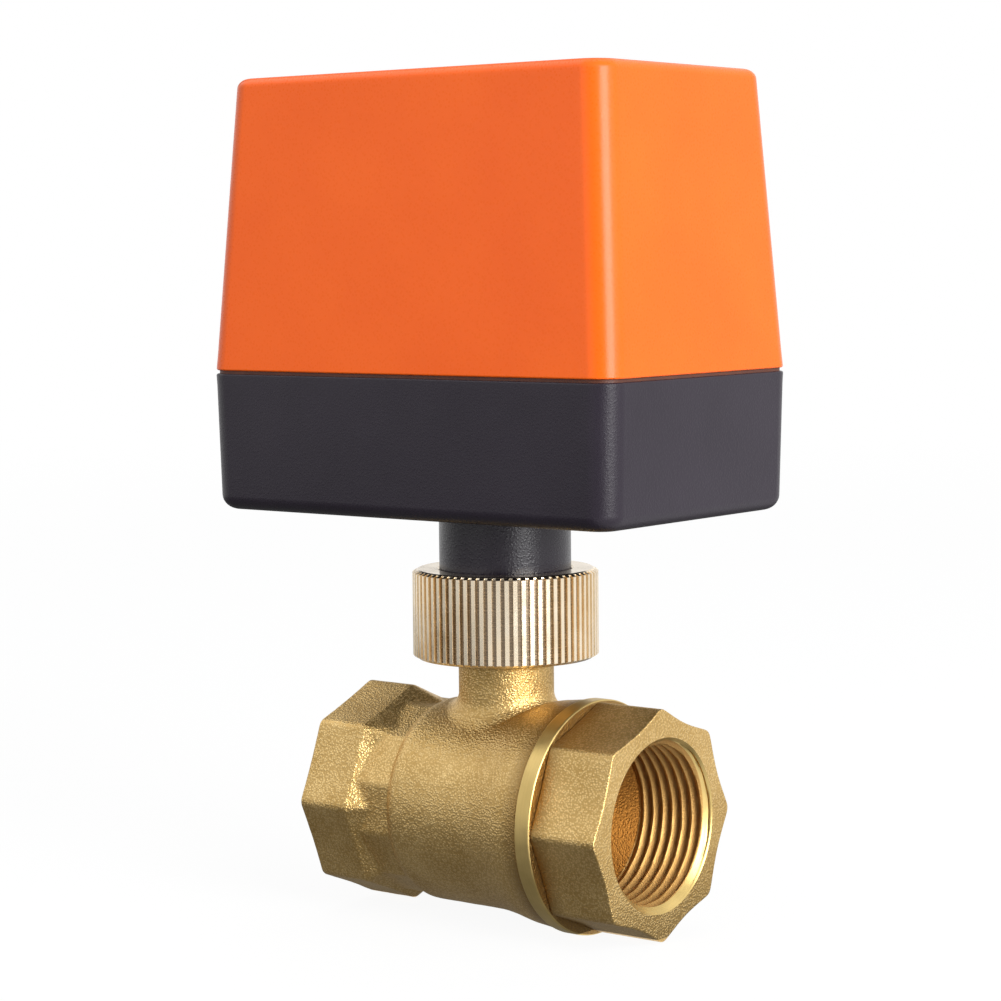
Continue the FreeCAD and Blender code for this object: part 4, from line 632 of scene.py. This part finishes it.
def connector_radius(x):
    """The connector's outside at one place: the collar, then the octagon, whose flats hollow more
    towards the port."""
    if x < OCTAGON_X:
        return np.full_like(angles, COLLAR) - edge_drop(min(x - COLLAR_X, OCTAGON_X - x), COLLAR_EDGE)
    dip = FLAT_DIP + PORT_DIP * ((x - OCTAGON_X) / (END_X - OCTAGON_X)) ** 2
    octagon = polygon_radius(angles, 8, corner=18.05, edge=1.6, hollow=dip)
    return octagon - edge_drop(END_X - x, END_EDGE) - edge_drop(x - OCTAGON_X, ROOT_EDGE)


stations = np.concatenate([
    COLLAR_X + COLLAR_EDGE * edge_steps(5), np.linspace(42.6, 44.6, 5),
    OCTAGON_X - COLLAR_EDGE * edge_steps(5)[:0:-1] - 0.001, OCTAGON_X + ROOT_EDGE * edge_steps(4),
    np.linspace(45.4, 55.6, 24), END_X - END_EDGE * edge_steps(8)[::-1],
])
outside = np.array([connector_radius(x) for x in stations])
depths = np.linspace(0, PORT_DEPTH, 112)
NOSE = (
    (41.16, BORE), (37.6, BORE), (37.6, 11.0), (36.0, 11.33), (34.56, 12.8), (42.0, 12.8), (42.0, 14.4),
    (42.15, 14.4),
)
outlet_bore = ring_points(END_X - depths, port_radius(depths, angles, 1, OUTLET_MINOR), angles)
skin = np.concatenate([ring_points(stations, outside, angles), outlet_bore, plain_rings(NOSE)])
connector = piece("outlet_connector", skin_mesh("outlet_connector", skin, False))
soften(connector, 32)
dress(connector, blasted_brass, turned_brass, bore_brass, drilled_brass)
OUTLET_MOUTH, OUTLET_THREAD, NOSE_END, SEAT_BORE = END_X - 1.1, END_X - PORT_DEPTH + 0.2, 43, 13


def in_outlet(p, n):
    return NOSE_END < p.x < OUTLET_MOUTH and radius_of(p) < PORT_WALL and looks_in(p, n)


place_finish(connector, lambda p, n: p.x < OCTAGON_X - 0.02, TURNED)
place_finish(connector, lambda p, n: p.x > OUTLET_MOUTH and radius_of(p) < PORT_WALL, TURNED)
place_finish(connector, in_outlet, THREADED)
place_finish(connector, lambda p, n: p.x < OUTLET_THREAD and radius_of(p) < SEAT_BORE, DRILLED)
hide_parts("end_connector")
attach(connector, "valve")


# Union nut: turned brass with a pale plating, straight-knurled all round so that it can be done up
# by hand. Its lip hangs on the neck's snap ring, and its thread takes the tower's head.
NUT_LOW, NUT_HIGH, NUT_ROOT, NUT_TIP, NUT_TEETH = 23.7, 37.7, 14.04, 14.6, 70


def set_out(tree, got, give, points, rotation=None):
    """Puts a copy of the part on each point, moves them all to the centre, makes them real and gives
    them their material."""
    inputs = {"Points": points, "Instance": got["Geometry"]}
    if rotation:
        inputs["Rotation"] = rotation
    last = add_node(tree, "GeometryNodeInstanceOnPoints", inputs)
    for kind, inputs in (
        ("GeometryNodeTransform", {"Translation": got["Centre"]}),
        ("GeometryNodeRealizeInstances", {}),
        ("GeometryNodeSetMaterial", {"Material": got["Material"]}),
    ):
        last = add_node(tree, kind, {"Geometry": last.outputs[0], **inputs})
    tree.links.new(last.outputs[0], give["Geometry"])


COPIED = {"Geometry": "Geometry", "Centre": "Vector", "Material": "Material"}
ROUND_AXIS, got, give = new_group(
    "GeometryNodeTree", "round_an_axis",
    {**COPIED, "Count": "Int", "Radius": "Float"}, {"Geometry": "Geometry"},
)
circle = add_node(ROUND_AXIS, "GeometryNodeMeshCircle", {"Vertices": got["Count"], "Radius": got["Radius"]})
spot = add_node(ROUND_AXIS, "GeometryNodeInputPosition").outputs[0]
turns = {"axis": "X", "pivot_axis": "Z"}
outward = add_node(ROUND_AXIS, "FunctionNodeAlignRotationToVector", {"Vector": spot}, **turns)
set_out(ROUND_AXIS, got, give, circle.outputs[0], outward.outputs[0])


def repeated(name, template, tree, material, **sizes):
    """The template repeated by the tree, as a plain mesh."""
    worker = piece(name, template)
    step = worker.modifiers.new("repeat", "NODES")
    step.node_group = tree
    names = {item.name: item.identifier for item in tree.interface.items_tree if item.in_out == "INPUT"}
    for key, value in {**sizes, "Material": material}.items():
        step[names[key]] = value
    worker.update_tag()
    settle(worker)
    return worker


def joined(name, *parts):
    """Several meshes as one piece, with their materials kept."""
    made = bmesh.new()
    materials = []
    for part in parts:
        offset = len(materials)
        materials += list(part.data.materials)
        start = len(made.faces)
        made.from_mesh(part.data)
        made.faces.ensure_lookup_table()
        for face in made.faces[start:]:
            face.material_index += offset
    mesh = bpy.data.meshes.new(name)
    made.to_mesh(mesh)
    made.free()
    for material in materials:
        mesh.materials.append(material)
    for part in parts:
        bpy.data.objects.remove(part)
    return piece(name, mesh)


def clouded(name, first, second, rough, size=3.0, depth=0.006, metal=0.0):
    """A finish whose tone, gloss and height drift slowly over the surface."""
    found, tree, shader = new_material(name, Metallic=metal)
    clouds = clouds_of(tree, size)
    colour = colour_between(tree, clouds, first, second)
    paint(tree, shader, colour, spread(tree, clouds, *rough), clouds, depth)
    return found


plated_brass = clouded(
    "plated_brass", (0.86, 0.715, 0.515), (0.94, 0.815, 0.635), (0.16, 0.26), 5.0, 0.004, metal=1.0,
)

# Its grooves and bore, painted dark brown as shade in the recesses.
STEM_AXIS = {"Location": (-STEM_X, 0, 0)}
groove_shade_brass, tree, shader = new_material("groove_shade_brass", Metallic=1.0)
marks = lathe_marks(tree, STEM_AXIS, 0.2)
colour = colour_between(tree, marks, (0.11, 0.079, 0.053), (0.36, 0.27, 0.18))
paint(tree, shader, colour, spread(tree, marks, 0.2, 0.3, 0.3, 0.7), marks, 0.01)

# A tooth of the knurl. Its tip and its foot: how far off the ring, how wide, how far from the ends.
TOOTH_TIP, TOOTH_FOOT, TOOTH_EDGE = (NUT_TIP - NUT_ROOT, 0.66, 0.48), (-0.2, 0.86, 0.1), 0.06
tooth = bmesh.new()
bmesh.ops.create_cube(tooth, size=1)
for v in tooth.verts:
    reach, width, short = TOOTH_TIP if v.co.x > 0 else TOOTH_FOOT
    v.co = (reach, v.co.y * width, NUT_HIGH - short if v.co.z > 0 else NUT_LOW + short)
tip_edges = [e for e in tooth.edges if all(v.co.x > 0 for v in e.verts)]
bmesh.ops.bevel(tooth, geom=tip_edges, offset=TOOTH_EDGE, segments=2, affect="EDGES")
bmesh.ops.scale(tooth, vec=(MM, MM, MM), verts=tooth.verts[:])
tooth_mesh = bpy.data.meshes.new("knurl_tooth")
tooth.to_mesh(tooth_mesh)
tooth.free()
knurl = repeated(
    "knurl", tooth_mesh, ROUND_AXIS, plated_brass,
    Count=NUT_TEETH, Radius=NUT_ROOT * MM, Centre=(STEM_X, 0, 0),
)
NUT_OUTLINE = (
    (11.85, NUT_LOW), (13.75, NUT_LOW), (NUT_ROOT, 24.03), (NUT_ROOT, 37.3), (13.95, 37.55),
    (13.7, NUT_HIGH), (10.8, NUT_HIGH), (10.5, 37.4), (10.5, 35.5), (12.15, 35.5), (12.15, 32.0),
    (11.55, 32.0), (11.55, 24.0),
)
nut_ring = piece("nut_ring", turned_mesh("nut_ring", NUT_OUTLINE, 280, STEM_AT, hollow=True))
dress(nut_ring, plated_brass, groove_shade_brass)
GROOVE_IN, GROOVE_TOP, BORE_OUT, BORE_TOP = 14.0, 37.2, 12.3, 35.6


def off_stem(p):
    return math.hypot(p.x - STEM, p.y)


# Painted shade: the root wall between the knurl's teeth and the nut's bore take the dark groove finish.
place_finish(nut_ring, lambda p, n: off_stem(p) > GROOVE_IN and p.z < GROOVE_TOP, 1)
place_finish(nut_ring, lambda p, n: off_stem(p) < BORE_OUT and p.z < BORE_TOP, 1)
union_nut = soften(joined("knurled_nut", nut_ring, knurl), 28)
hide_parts("union_nut")
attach(union_nut, "union_nut")


# Actuator base: a black glass-filled moulding, with a drafted box above and a round neck below
# that stands on the tower. The fine texture comes from the mould.
BOX_X, BOX_Y = 25.76, -0.25
BASE_LOW, BASE_HIGH, SPLIT, COVER_LOW, COVER_HIGH = 46.9, 68.35, 68.6, 68.85, 114.4
CORNER, WALL, FLOOR = 4.0, 2.2, 49.4


def half_sizes(z):
    """The housing's outer half width and half depth at a height, along its two drafts."""
    heights = (BASE_LOW, SPLIT, COVER_HIGH)
    return np.interp(z, heights, (38.55, 39.15, 36.1)), np.interp(z, heights, (24.05, 24.3, 21.45))


def rounded_ring(z, inset, corner):
    """A level loop of the housing, pulled in by an inset, with round corners."""
    hx, hy = (half - inset - corner for half in half_sizes(z))
    points = []
    for sx, sy, start in ((1, -1, -90), (1, 1, 0), (-1, 1, 90), (-1, -1, 180)):
        for t in np.radians(np.linspace(start, start + 90, 19)):
            x, y = sx * hx + corner * math.cos(t), sy * hy + corner * math.sin(t)
            points.append((BOX_X + x, BOX_Y + y, z))
    return points


# From the rounded foot up the wall to the lip, over the gasket's track, and down inside to the floor.
BASE_EDGE, LIP, TRACK = 2.3, 0.3, 0.5
loops = []
for t in np.linspace(0, math.pi / 2, 9):
    pulled = BASE_EDGE * (1 - math.sin(t))
    loops.append(rounded_ring(BASE_LOW + BASE_EDGE * (1 - math.cos(t)), pulled, CORNER - pulled * 0.8))
loops += [rounded_ring(z, 0, CORNER) for z in (52.0, 57.0, 62.0, 66.5)]
for t in np.linspace(0, math.pi / 2, 5):
    loops.append(rounded_ring(BASE_HIGH - LIP * (1 - math.sin(t)), LIP * (1 - math.cos(t)), CORNER - 0.1))
loops += [rounded_ring(z, TRACK, CORNER - TRACK) for z in (BASE_HIGH, BASE_HIGH - TRACK)]
loops += [rounded_ring(z, WALL - TRACK, CORNER - WALL) for z in (BASE_HIGH - TRACK, BASE_HIGH)]
loops += [rounded_ring(z, WALL, CORNER - WALL) for z in (BASE_HIGH, FLOOR)]
base = piece("base_moulding", skin_mesh("base_moulding", loops, True))
HUBS = ((5.964, -5.421), (10.759, 6.877))
HUB, HUB_TOP, POST, SUNK = 2.9, 52.0, 3.4, 0.6
SCREW_X, SCREW_Y = 32.75, 17.7
SCREWS = [(BOX_X + sx * SCREW_X, BOX_Y + sy * SCREW_Y) for sx in (-1, 1) for sy in (-1, 1)]
for spot in SCREWS:
    carve(base, turned_mesh("boss", ((POST, FLOOR - SUNK), (POST, BASE_HIGH)), 48, spot), "UNION")
for spot in HUBS:
    carve(base, turned_mesh("hub", ((HUB, FLOOR - SUNK), (HUB, HUB_TOP)), 48, spot), "UNION")

# The neck, with the snap ring's groove near its foot and a fillet under the box.
NECK_R, NECK_GROOVE, NECK_TOP, NECK_FILLET = 10.35, 9.45, 46.1, 0.8
KEY_HALF, KEY_IN, KEY_OUT = 1.5, 8.8, 10.15
neck = [(NECK_R - 0.3, 32.1), (NECK_R, 32.4), (NECK_R, 33.3), (NECK_GROOVE, 33.3), (NECK_GROOVE, 34.7)]
neck += [(NECK_R, 34.7), (NECK_R, NECK_TOP)]
for t in np.linspace(0.3, math.pi / 2, 6):
    neck.append((NECK_R + NECK_FILLET * (1 - math.cos(t)), NECK_TOP + NECK_FILLET * math.sin(t)))
neck.append((NECK_R + NECK_FILLET, 48.5))
carve(base, turned_mesh("neck", neck, 160, STEM_AT), "UNION")
for side in (-1, 1):
    y0, y1 = sorted((side * KEY_IN, side * KEY_OUT))
    carve(base, block_mesh("key", (STEM - KEY_HALF, y0, 30.6), (STEM + KEY_HALF, y1, 33.0)), "UNION")
carve(base, turned_mesh("shaft_bore", ((6.6, 30), (6.6, 52)), 96, STEM_AT), "DIFFERENCE")
SCREW_HOLE = ((3.2, 45), (3.2, 46.95), (3.0, 47.15), (3.0, 49.1), (1.6, 49.1), (1.6, 69))
for spot in SCREWS:
    carve(base, turned_mesh("screw_hole", SCREW_HOLE, 48, spot), "DIFFERENCE")
GLAND_X, GLAND_Z, GLAND_WALL = STEM + 10, 56.9, 23.917
round_gland = np.linspace(0, math.tau, 96, endpoint=False)


def along_y(outline, limit=20.0):
    """Loops round the gland's level axis from (radius, y) points, none of them wider than the limit."""
    loops = []
    for r, y in outline:
        radii = np.minimum(limit, np.full_like(round_gland, r))
        x, z = GLAND_X + radii * np.sin(round_gland), GLAND_Z + radii * np.cos(round_gland)
        loops.append(np.stack([x, np.full_like(x, y), z], -1))
    return loops


carve(base, skin_mesh("gland_hole", along_y(((5.1, 20), (5.1, 26))), True), "DIFFERENCE")
soften(base, 30)


def moulded(name, first, second, rough, grain_size, drift, depth, specular=0.5):
    """A moulded plastic: the mould's fine texture, over a slow drift of tone."""
    found, tree, shader = new_material(name, Specular_IOR_Level=specular)
    grain = grain_of(tree, grain_size)
    colour = colour_between(tree, clouds_of(tree, drift), first, second)
    paint(tree, shader, colour, spread(tree, grain["Pits"], *rough), grain["Height"], depth)
    return found


BLACKS = (0.0120, 0.0078, 0.0150), (0.0160, 0.0112, 0.0195)
mould_black = moulded("mould_black", *BLACKS, (0.42, 0.34), 0.38, 14.0, 0.035, specular=0.38)
neck_black = moulded("neck_black", *BLACKS, (0.34, 0.24), 0.38, 14.0, 0.055)
dress(base, mould_black, neck_black)
place_finish(base, lambda p, n: p.z < BASE_LOW - 0.1, 1)
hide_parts("actuator_base")
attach(base, "actuator")


# Actuator cover: an orange moulding, smoother than the base, with rounded edges and a fine lip
# that sits over the gasket. Four screws from below hold it.
TOP_EDGE = 1.5
loops = [rounded_ring(COVER_LOW, LIP + 0.1, CORNER - 0.4)]
for t in np.linspace(0, math.pi / 2, 5):
    loops.append(rounded_ring(COVER_LOW + LIP * (1 - math.cos(t)), LIP * (1 - math.sin(t)), CORNER - 0.1))
loops += [rounded_ring(z, 0, CORNER) for z in (72.0, 80.0, 90.0, 100.0, 108.0)]
for t in np.linspace(0, math.pi / 2, 11):
    pulled = TOP_EDGE * (1 - math.cos(t))
    loops.append(rounded_ring(COVER_HIGH - TOP_EDGE * (1 - math.sin(t)), pulled, CORNER - 0.6 * pulled))
roof_loops = [rounded_ring(z, WALL, CORNER - WALL) for z in (COVER_HIGH - WALL, COVER_LOW)]
cover = piece("cover_moulding", skin_mesh("cover_moulding", roof_loops + loops, True))
POST_LOW, POST_TOP, POST_ROOF, POST_HOLE, WEB = COVER_LOW + 0.1, 79.35, 1.2, 1.5, 0.8
for x, y in SCREWS:
    wall_x = BOX_X + math.copysign(half_sizes(POST_TOP)[0] - WALL / 2, x - BOX_X)
    x0, x1 = sorted((x, wall_x))
    hole = ((POST_HOLE, POST_LOW - 1), (POST_HOLE, POST_TOP - POST_ROOF))
    carve(cover, turned_mesh("post", ((POST, POST_LOW), (POST, POST_TOP)), 48, (x, y)), "UNION")
    carve(cover, block_mesh("web", (x0, y - WEB, POST_LOW), (x1, y + WEB, POST_TOP)), "UNION")
    carve(cover, turned_mesh("post_hole", hole, 32, (x, y)), "DIFFERENCE")
soften(cover, 30)
mould_orange = moulded(
    "mould_orange", (0.90, 0.118, 0.0045), (0.94, 0.132, 0.006), (0.31, 0.25),
    0.6, 18.0, 0.008, specular=0.3,
)
dress(cover, mould_orange)
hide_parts("actuator_cover")
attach(cover, "actuator")


# Cover screws: four zinc-plated pan heads with a cross recess, sunk in the base's underside. They
# run up through the base's posts into the cover.
zinc_steel = clouded(
    "zinc_steel", (0.50, 0.51, 0.53), (0.66, 0.67, 0.68), (0.4, 0.26), 1.6, 0.004, metal=1.0,
)
HEAD_SEAT, HEAD_TOP, HEAD_R, SHANK_R, SHANK_TIP = 49.1, 47.1, 2.7, 1.45, 77.35
CROWN, ROUND_IN, ROUND_UP, SEAT_EDGE = 0.1, 0.75, 0.85, 0.12
PLAIN_SHANK, SCREW_PITCH, SCREW_ROOT, SCREW_POINT = 3.0, 0.62, 0.22, 1.4
head = []
for t in np.linspace(0, math.pi / 2, 4):
    head.append((HEAD_R * 0.72 * math.sin(t) + 0.01, HEAD_TOP + CROWN * (1 - math.cos(t))))
for t in np.linspace(0.2, math.pi / 2, 8):
    head.append((HEAD_R - ROUND_IN * (1 - math.sin(t)), HEAD_TOP + CROWN + ROUND_UP * (1 - math.cos(t))))
head += [(HEAD_R, HEAD_SEAT - SEAT_EDGE), (HEAD_R - SEAT_EDGE, HEAD_SEAT), (SHANK_R, HEAD_SEAT)]
for z in np.arange(HEAD_SEAT + PLAIN_SHANK, SHANK_TIP - SCREW_POINT - 0.2, SCREW_PITCH):
    head += [(SHANK_R, z), (SHANK_R - SCREW_ROOT, z + SCREW_PITCH / 2)]
head += [(SHANK_R, SHANK_TIP - SCREW_POINT), (0.25, SHANK_TIP)]
screw = piece("screw_pattern", turned_mesh("screw_pattern", head, 40))
CROSS_LONG, CROSS_WIDE, CROSS_DEEP = HEAD_R * 0.6, HEAD_R * 0.14, 1.05
for x, y in ((CROSS_LONG, CROSS_WIDE), (CROSS_WIDE, CROSS_LONG)):
    carve(screw, block_mesh("recess", (-x, -y, HEAD_TOP - 1), (x, y, HEAD_TOP + CROSS_DEEP)), "DIFFERENCE")
screw_mesh = screw.data
bpy.data.objects.remove(screw)

CORNERS, got, give = new_group(
    "GeometryNodeTree", "four_corners",
    {**COPIED, "Length": "Float", "Width": "Float"}, {"Geometry": "Geometry"},
)
sides = {"Size X": got["Length"], "Size Y": got["Width"], "Vertices X": 2, "Vertices Y": 2}
grid = add_node(CORNERS, "GeometryNodeMeshGrid", sides)
set_out(CORNERS, got, give, grid.outputs[0])
cover_screws = repeated(
    "cross_recess_screws", screw_mesh, CORNERS, zinc_steel,
    Length=2 * SCREW_X * MM, Width=2 * SCREW_Y * MM, Centre=(BOX_X * MM, BOX_Y * MM, 0),
)
soften(cover_screws, 35)
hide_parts("cover_screws")
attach(cover_screws, "actuator")


# Cable gland: a black polyamide body with a wrench hexagon, and a domed nut that squeezes a rubber
# seal round the cable. A locknut holds it inside the back wall.
HEX, HEX_REACH = 13.0, 7.51
SEAT_Y = GLAND_WALL + 0.15
hexagon = polygon_radius(round_gland, 6, corner=HEX / math.sqrt(3), edge=0.5, turn=math.pi / 6)


def gland_part(name, outline, bore):
    """A piece round the gland's axis, from (radius, y) points: the outside first, kept within the
    hexagon, and then the bore run back through it."""
    loops = along_y(outline, hexagon) + along_y(bore)
    found = soften(piece(name, skin_mesh(name, loops, False)), 30)
    dress(found, black_nylon)
    return found


black_nylon = moulded(
    "black_nylon", (0.019, 0.018, 0.021), (0.030, 0.029, 0.032), (0.42, 0.34), 0.35, 5.0, 0.012,
)

THREAD_START, FLANGE_END, COLLET_END = 13.967, SEAT_Y + 4.0, SEAT_Y + 9.5


def fine_thread(radius, root, start, end, pitch):
    """Turned grooves between two places, as (radius, y) points."""
    points = []
    for y in np.arange(start, end - pitch, pitch):
        steps = ((radius, 0), (root, 0.38), (root, 0.52), (radius, 0.9))
        points += [(r, y + share * pitch) for r, share in steps]
    return points


outline = [(4.7, THREAD_START), *fine_thread(5.0, 4.6, THREAD_START + 0.35, SEAT_Y - 0.3, 1.0)]
outline += [(5.0, SEAT_Y - 0.02), (7.1, SEAT_Y), (HEX_REACH, SEAT_Y + 0.3), (HEX_REACH, FLANGE_END - 0.45)]
outline += [(7.0, FLANGE_END), (4.7, FLANGE_END + 0.01)]
outline += fine_thread(4.7, 4.35, FLANGE_END + 0.2, COLLET_END - 0.9, 0.9)
outline += [(4.7, COLLET_END - 0.4), (4.4, COLLET_END)]
gland_bore = ((3.8, COLLET_END), (3.8, SEAT_Y + 2.0), (2.6, SEAT_Y + 1.99), (2.6, THREAD_START))
gland_body = gland_part("gland_threaded_body", outline, gland_bore)
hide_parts("gland_body")
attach(gland_body, "actuator")

NUT_START = FLANGE_END + 0.3
NUT_END = NUT_START + 8.6
DOME = 2.6
outline = [(5.0, NUT_START), (7.1, NUT_START + 0.02), (HEX_REACH, NUT_START + 0.35)]
outline += [(HEX_REACH, NUT_END - 4.1), (6.95, NUT_END - 2.7)]
for t in np.linspace(0.05, math.pi / 2, 12):
    outline.append((4.3 + DOME * math.cos(t), NUT_END - DOME * (1 - math.sin(t))))
outline += [(3.05, NUT_END)]
nut_bore = ((2.76, NUT_END - 0.3), (2.76, NUT_START + 5.5), (4.8, NUT_START + 5.49), (4.8, NUT_START + 0.2))
gland_nut = gland_part("gland_dome_nut", outline, nut_bore)
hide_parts("gland_nut")
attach(gland_nut, "gland_nut")

NUT_FACE = GLAND_WALL - WALL - 0.15
outline = [(5.3, NUT_FACE - 2.8), (7.05, NUT_FACE - 2.8), (HEX_REACH, NUT_FACE - 2.45)]
outline += [(HEX_REACH, NUT_FACE - 0.35), (7.05, NUT_FACE), (5.3, NUT_FACE)]
locknut = gland_part("gland_locknut_hexagon", outline, ((5.03, NUT_FACE - 0.3), (5.03, NUT_FACE - 2.5)))
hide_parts("gland_locknut")
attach(locknut, "actuator")


# Ball: brass, turned and polished, then chromed. It floats between two PTFE rings, and its slot
# takes the stem's tongue.
def finish(nodes, material):
    """Gives CAD pieces their material."""
    for name in nodes:
        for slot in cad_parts[name].material_slots:
            slot.material = material


def grained(name, first, second, rough, size=0.4, depth=0.02):
    """A moulded or cast finish: fine grain, and a slow drift of tone."""
    found, tree, shader = new_material(name)
    grain = grain_of(tree, size)
    share = weighted(tree, grain["Pits"], 0.4, clouds_of(tree, 12.0 * size), 0.6)
    colour = colour_between(tree, share, first, second)
    paint(tree, shader, colour, spread(tree, grain["Pits"], *rough), grain["Height"], depth)
    return found


finish(["ball"], turned(
    "chromed_ball", STEM_AXIS, 0.3, (0.62, 0.63, 0.65), (0.74, 0.75, 0.77), (0.06, 0.14), 0.0015,
))
finish(["seat_ring_inlet", "seat_ring_outlet"], clouded(
    "white_ptfe", (0.80, 0.79, 0.76), (0.90, 0.89, 0.87), (0.42, 0.55),
))
finish(["body_seal"], grained(
    "copper_fibre_seal", (0.20, 0.075, 0.028), (0.34, 0.15, 0.06), (0.6, 0.75), 0.3,
))


# Stem and its seals: turned brass, a PTFE washer under its collar, two rubber rings in their
# grooves, and the flat rubber ring between tower and neck. The gland's seal is the same rubber,
# and the neck's snap ring is spring steel.
finish(["stem"], turned(
    "stem_turned_brass", STEM_AXIS, 0.14, (0.60, 0.42, 0.18), (0.82, 0.63, 0.34), (0.22, 0.34), 0.006,
))
finish(["stem_thrust_washer"], clouded(
    "washer_ptfe", (0.78, 0.77, 0.73), (0.88, 0.87, 0.84), (0.45, 0.58),
))
finish(["stem_o_rings", "neck_seal", "gland_seal"], grained(
    "black_rubber", (0.012, 0.012, 0.012), (0.026, 0.025, 0.025), (0.5, 0.62), 0.25, 0.01,
))
finish(["neck_snap_ring"], clouded(
    "spring_steel", (0.36, 0.36, 0.37), (0.52, 0.52, 0.53), (0.26, 0.4), 1.5, 0.003, metal=1.0,
))


# Cover gasket: a brown rubber cord in the track on the wall's top. A thin line of it shows where the
# orange cover meets the black base.
finish(["cover_gasket"], grained(
    "gasket_rubber", (0.060, 0.016, 0.008), (0.105, 0.030, 0.014), (0.5, 0.65), 0.3,
))


# Gear train: a steel output shaft in a bronze bush, held by a spring clip, and moulded acetal gears
# on steel pins. The shaft also carries the red cam for the limit switches.
finish(["output_shaft"], turned(
    "ground_shaft_steel", STEM_AXIS, 0.1, (0.46, 0.46, 0.47), (0.62, 0.62, 0.63), (0.18, 0.3), 0.003,
))
finish(["output_bush"], turned(
    "sintered_bronze", STEM_AXIS, 0.2, (0.38, 0.22, 0.10), (0.56, 0.36, 0.18), (0.4, 0.55), 0.008,
))
finish(["output_gear", "idler_gear_b", "idler_gear_a"], grained(
    "acetal_natural", (0.70, 0.68, 0.61), (0.82, 0.80, 0.74), (0.34, 0.44), 0.5, 0.01,
))
finish(["switch_cam"], grained(
    "acetal_red", (0.42, 0.030, 0.022), (0.55, 0.055, 0.040), (0.34, 0.44), 0.5, 0.01,
))
finish(["shaft_clip"], clouded(
    "clip_steel", (0.10, 0.10, 0.11), (0.19, 0.19, 0.20), (0.34, 0.46), 1.5, 0.003, metal=1.0,
))
finish(["idler_pins", "lever_pins"], clouded(
    "pin_steel", (0.50, 0.50, 0.51), (0.66, 0.66, 0.67), (0.2, 0.32), 1.2, 0.002, metal=1.0,
))


# Gearbox plate: zinc-plated sheet steel on four turned brass pillars, held by pan heads. The motor
# is screwed to it.
finish(["gearbox_plate"], clouded(
    "plated_sheet_steel", (0.48, 0.49, 0.47), (0.64, 0.65, 0.62), (0.3, 0.45), 7.0, 0.006, metal=1.0,
))
finish(["plate_pillars"], clouded(
    "pillar_turned_brass", (0.56, 0.38, 0.15), (0.76, 0.56, 0.27), (0.28, 0.4), 2.0, 0.004, metal=1.0,
))
finish(["plate_screws", "motor_screws", "switch_screws", "terminal_screws"], zinc_steel)


# Motor: a drawn steel can over a wound stator, with a plastic end cap, a ferrite rotor and a brass
# pinion on a ground shaft.
MOTOR_AXIS = {"Location": (-1.46 * MM, -4.61 * MM, 0)}
TURNED_METALS = (
    ("can", "drawn_steel_can", 0.5, (0.50, 0.50, 0.50), (0.66, 0.66, 0.66), (0.24, 0.38), 0.004),
    ("bearings", "bearing_bronze", 0.12, (0.40, 0.24, 0.11), (0.56, 0.37, 0.19), (0.34, 0.48), 0.004),
    ("coil", "copper_winding", 0.45, (0.36, 0.10, 0.030), (0.66, 0.26, 0.10), (0.24, 0.38), 0.06),
    ("shaft", "motor_shaft_steel", 0.08, (0.55, 0.55, 0.56), (0.70, 0.70, 0.71), (0.14, 0.24), 0.002),
    ("pinion", "pinion_turned_brass", 0.1, (0.58, 0.40, 0.16), (0.78, 0.58, 0.29), (0.24, 0.36), 0.003),
)
for name, finish_name, *values in TURNED_METALS:
    finish(["motor_" + name], turned(finish_name, MOTOR_AXIS, *values))
finish(["motor_end_cap"], grained(
    "cap_plastic", (0.030, 0.030, 0.033), (0.050, 0.050, 0.054), (0.4, 0.5), 0.4, 0.015,
))
finish(["motor_rotor"], grained(
    "rotor_ferrite", (0.040, 0.040, 0.042), (0.085, 0.085, 0.09), (0.45, 0.6), 0.25,
))


# Circuit board: green glass-epoxy, with two sealed relays, a sleeved capacitor and a green terminal
# block with four poles. The glass weave shows as waves 0.8 mm long. The two limit switches are black
# mouldings with sheet steel levers.
WEAVE_WAVES = 7800.0
board_green, tree, shader = new_material("board_green")
parts = add_node(tree, "ShaderNodeSeparateXYZ", {0: object_place(tree)}).outputs
waves = [maths(tree, "SINE", maths(tree, "MULTIPLY", parts[axis], WEAVE_WAVES)) for axis in (1, 2)]
weave = spread(tree, maths(tree, "MULTIPLY", *waves), 0.0, 1.0, -1.0, 1.0)
share = weighted(tree, weave, 0.4, clouds_of(tree, 10.0), 0.5)
colour = colour_between(tree, share, (0.010, 0.105, 0.040), (0.022, 0.175, 0.070))
paint(tree, shader, colour, spread(tree, weave, 0.28, 0.4), weave, 0.01)
finish(["circuit_board"], board_green)
finish(["relays"], grained(
    "relay_case_blue", (0.012, 0.075, 0.26), (0.022, 0.11, 0.34), (0.3, 0.4), 0.5, 0.01,
))
finish(["capacitor"], clouded(
    "capacitor_sleeve", (0.020, 0.022, 0.035), (0.035, 0.038, 0.055), (0.22, 0.32), 3.0, 0.01,
))
finish(["terminal_block"], grained(
    "terminal_green", (0.020, 0.24, 0.065), (0.032, 0.33, 0.10), (0.34, 0.44), 0.5, 0.012,
))
finish(["limit_switch_open", "limit_switch_closed"], grained(
    "switch_black", (0.020, 0.020, 0.022), (0.036, 0.036, 0.039), (0.36, 0.48), 0.4, 0.015,
))
finish(["switch_lever_open", "switch_lever_closed"], clouded(
    "lever_steel", (0.44, 0.44, 0.45), (0.60, 0.60, 0.61), (0.2, 0.34), 1.4, 0.003, metal=1.0,
))
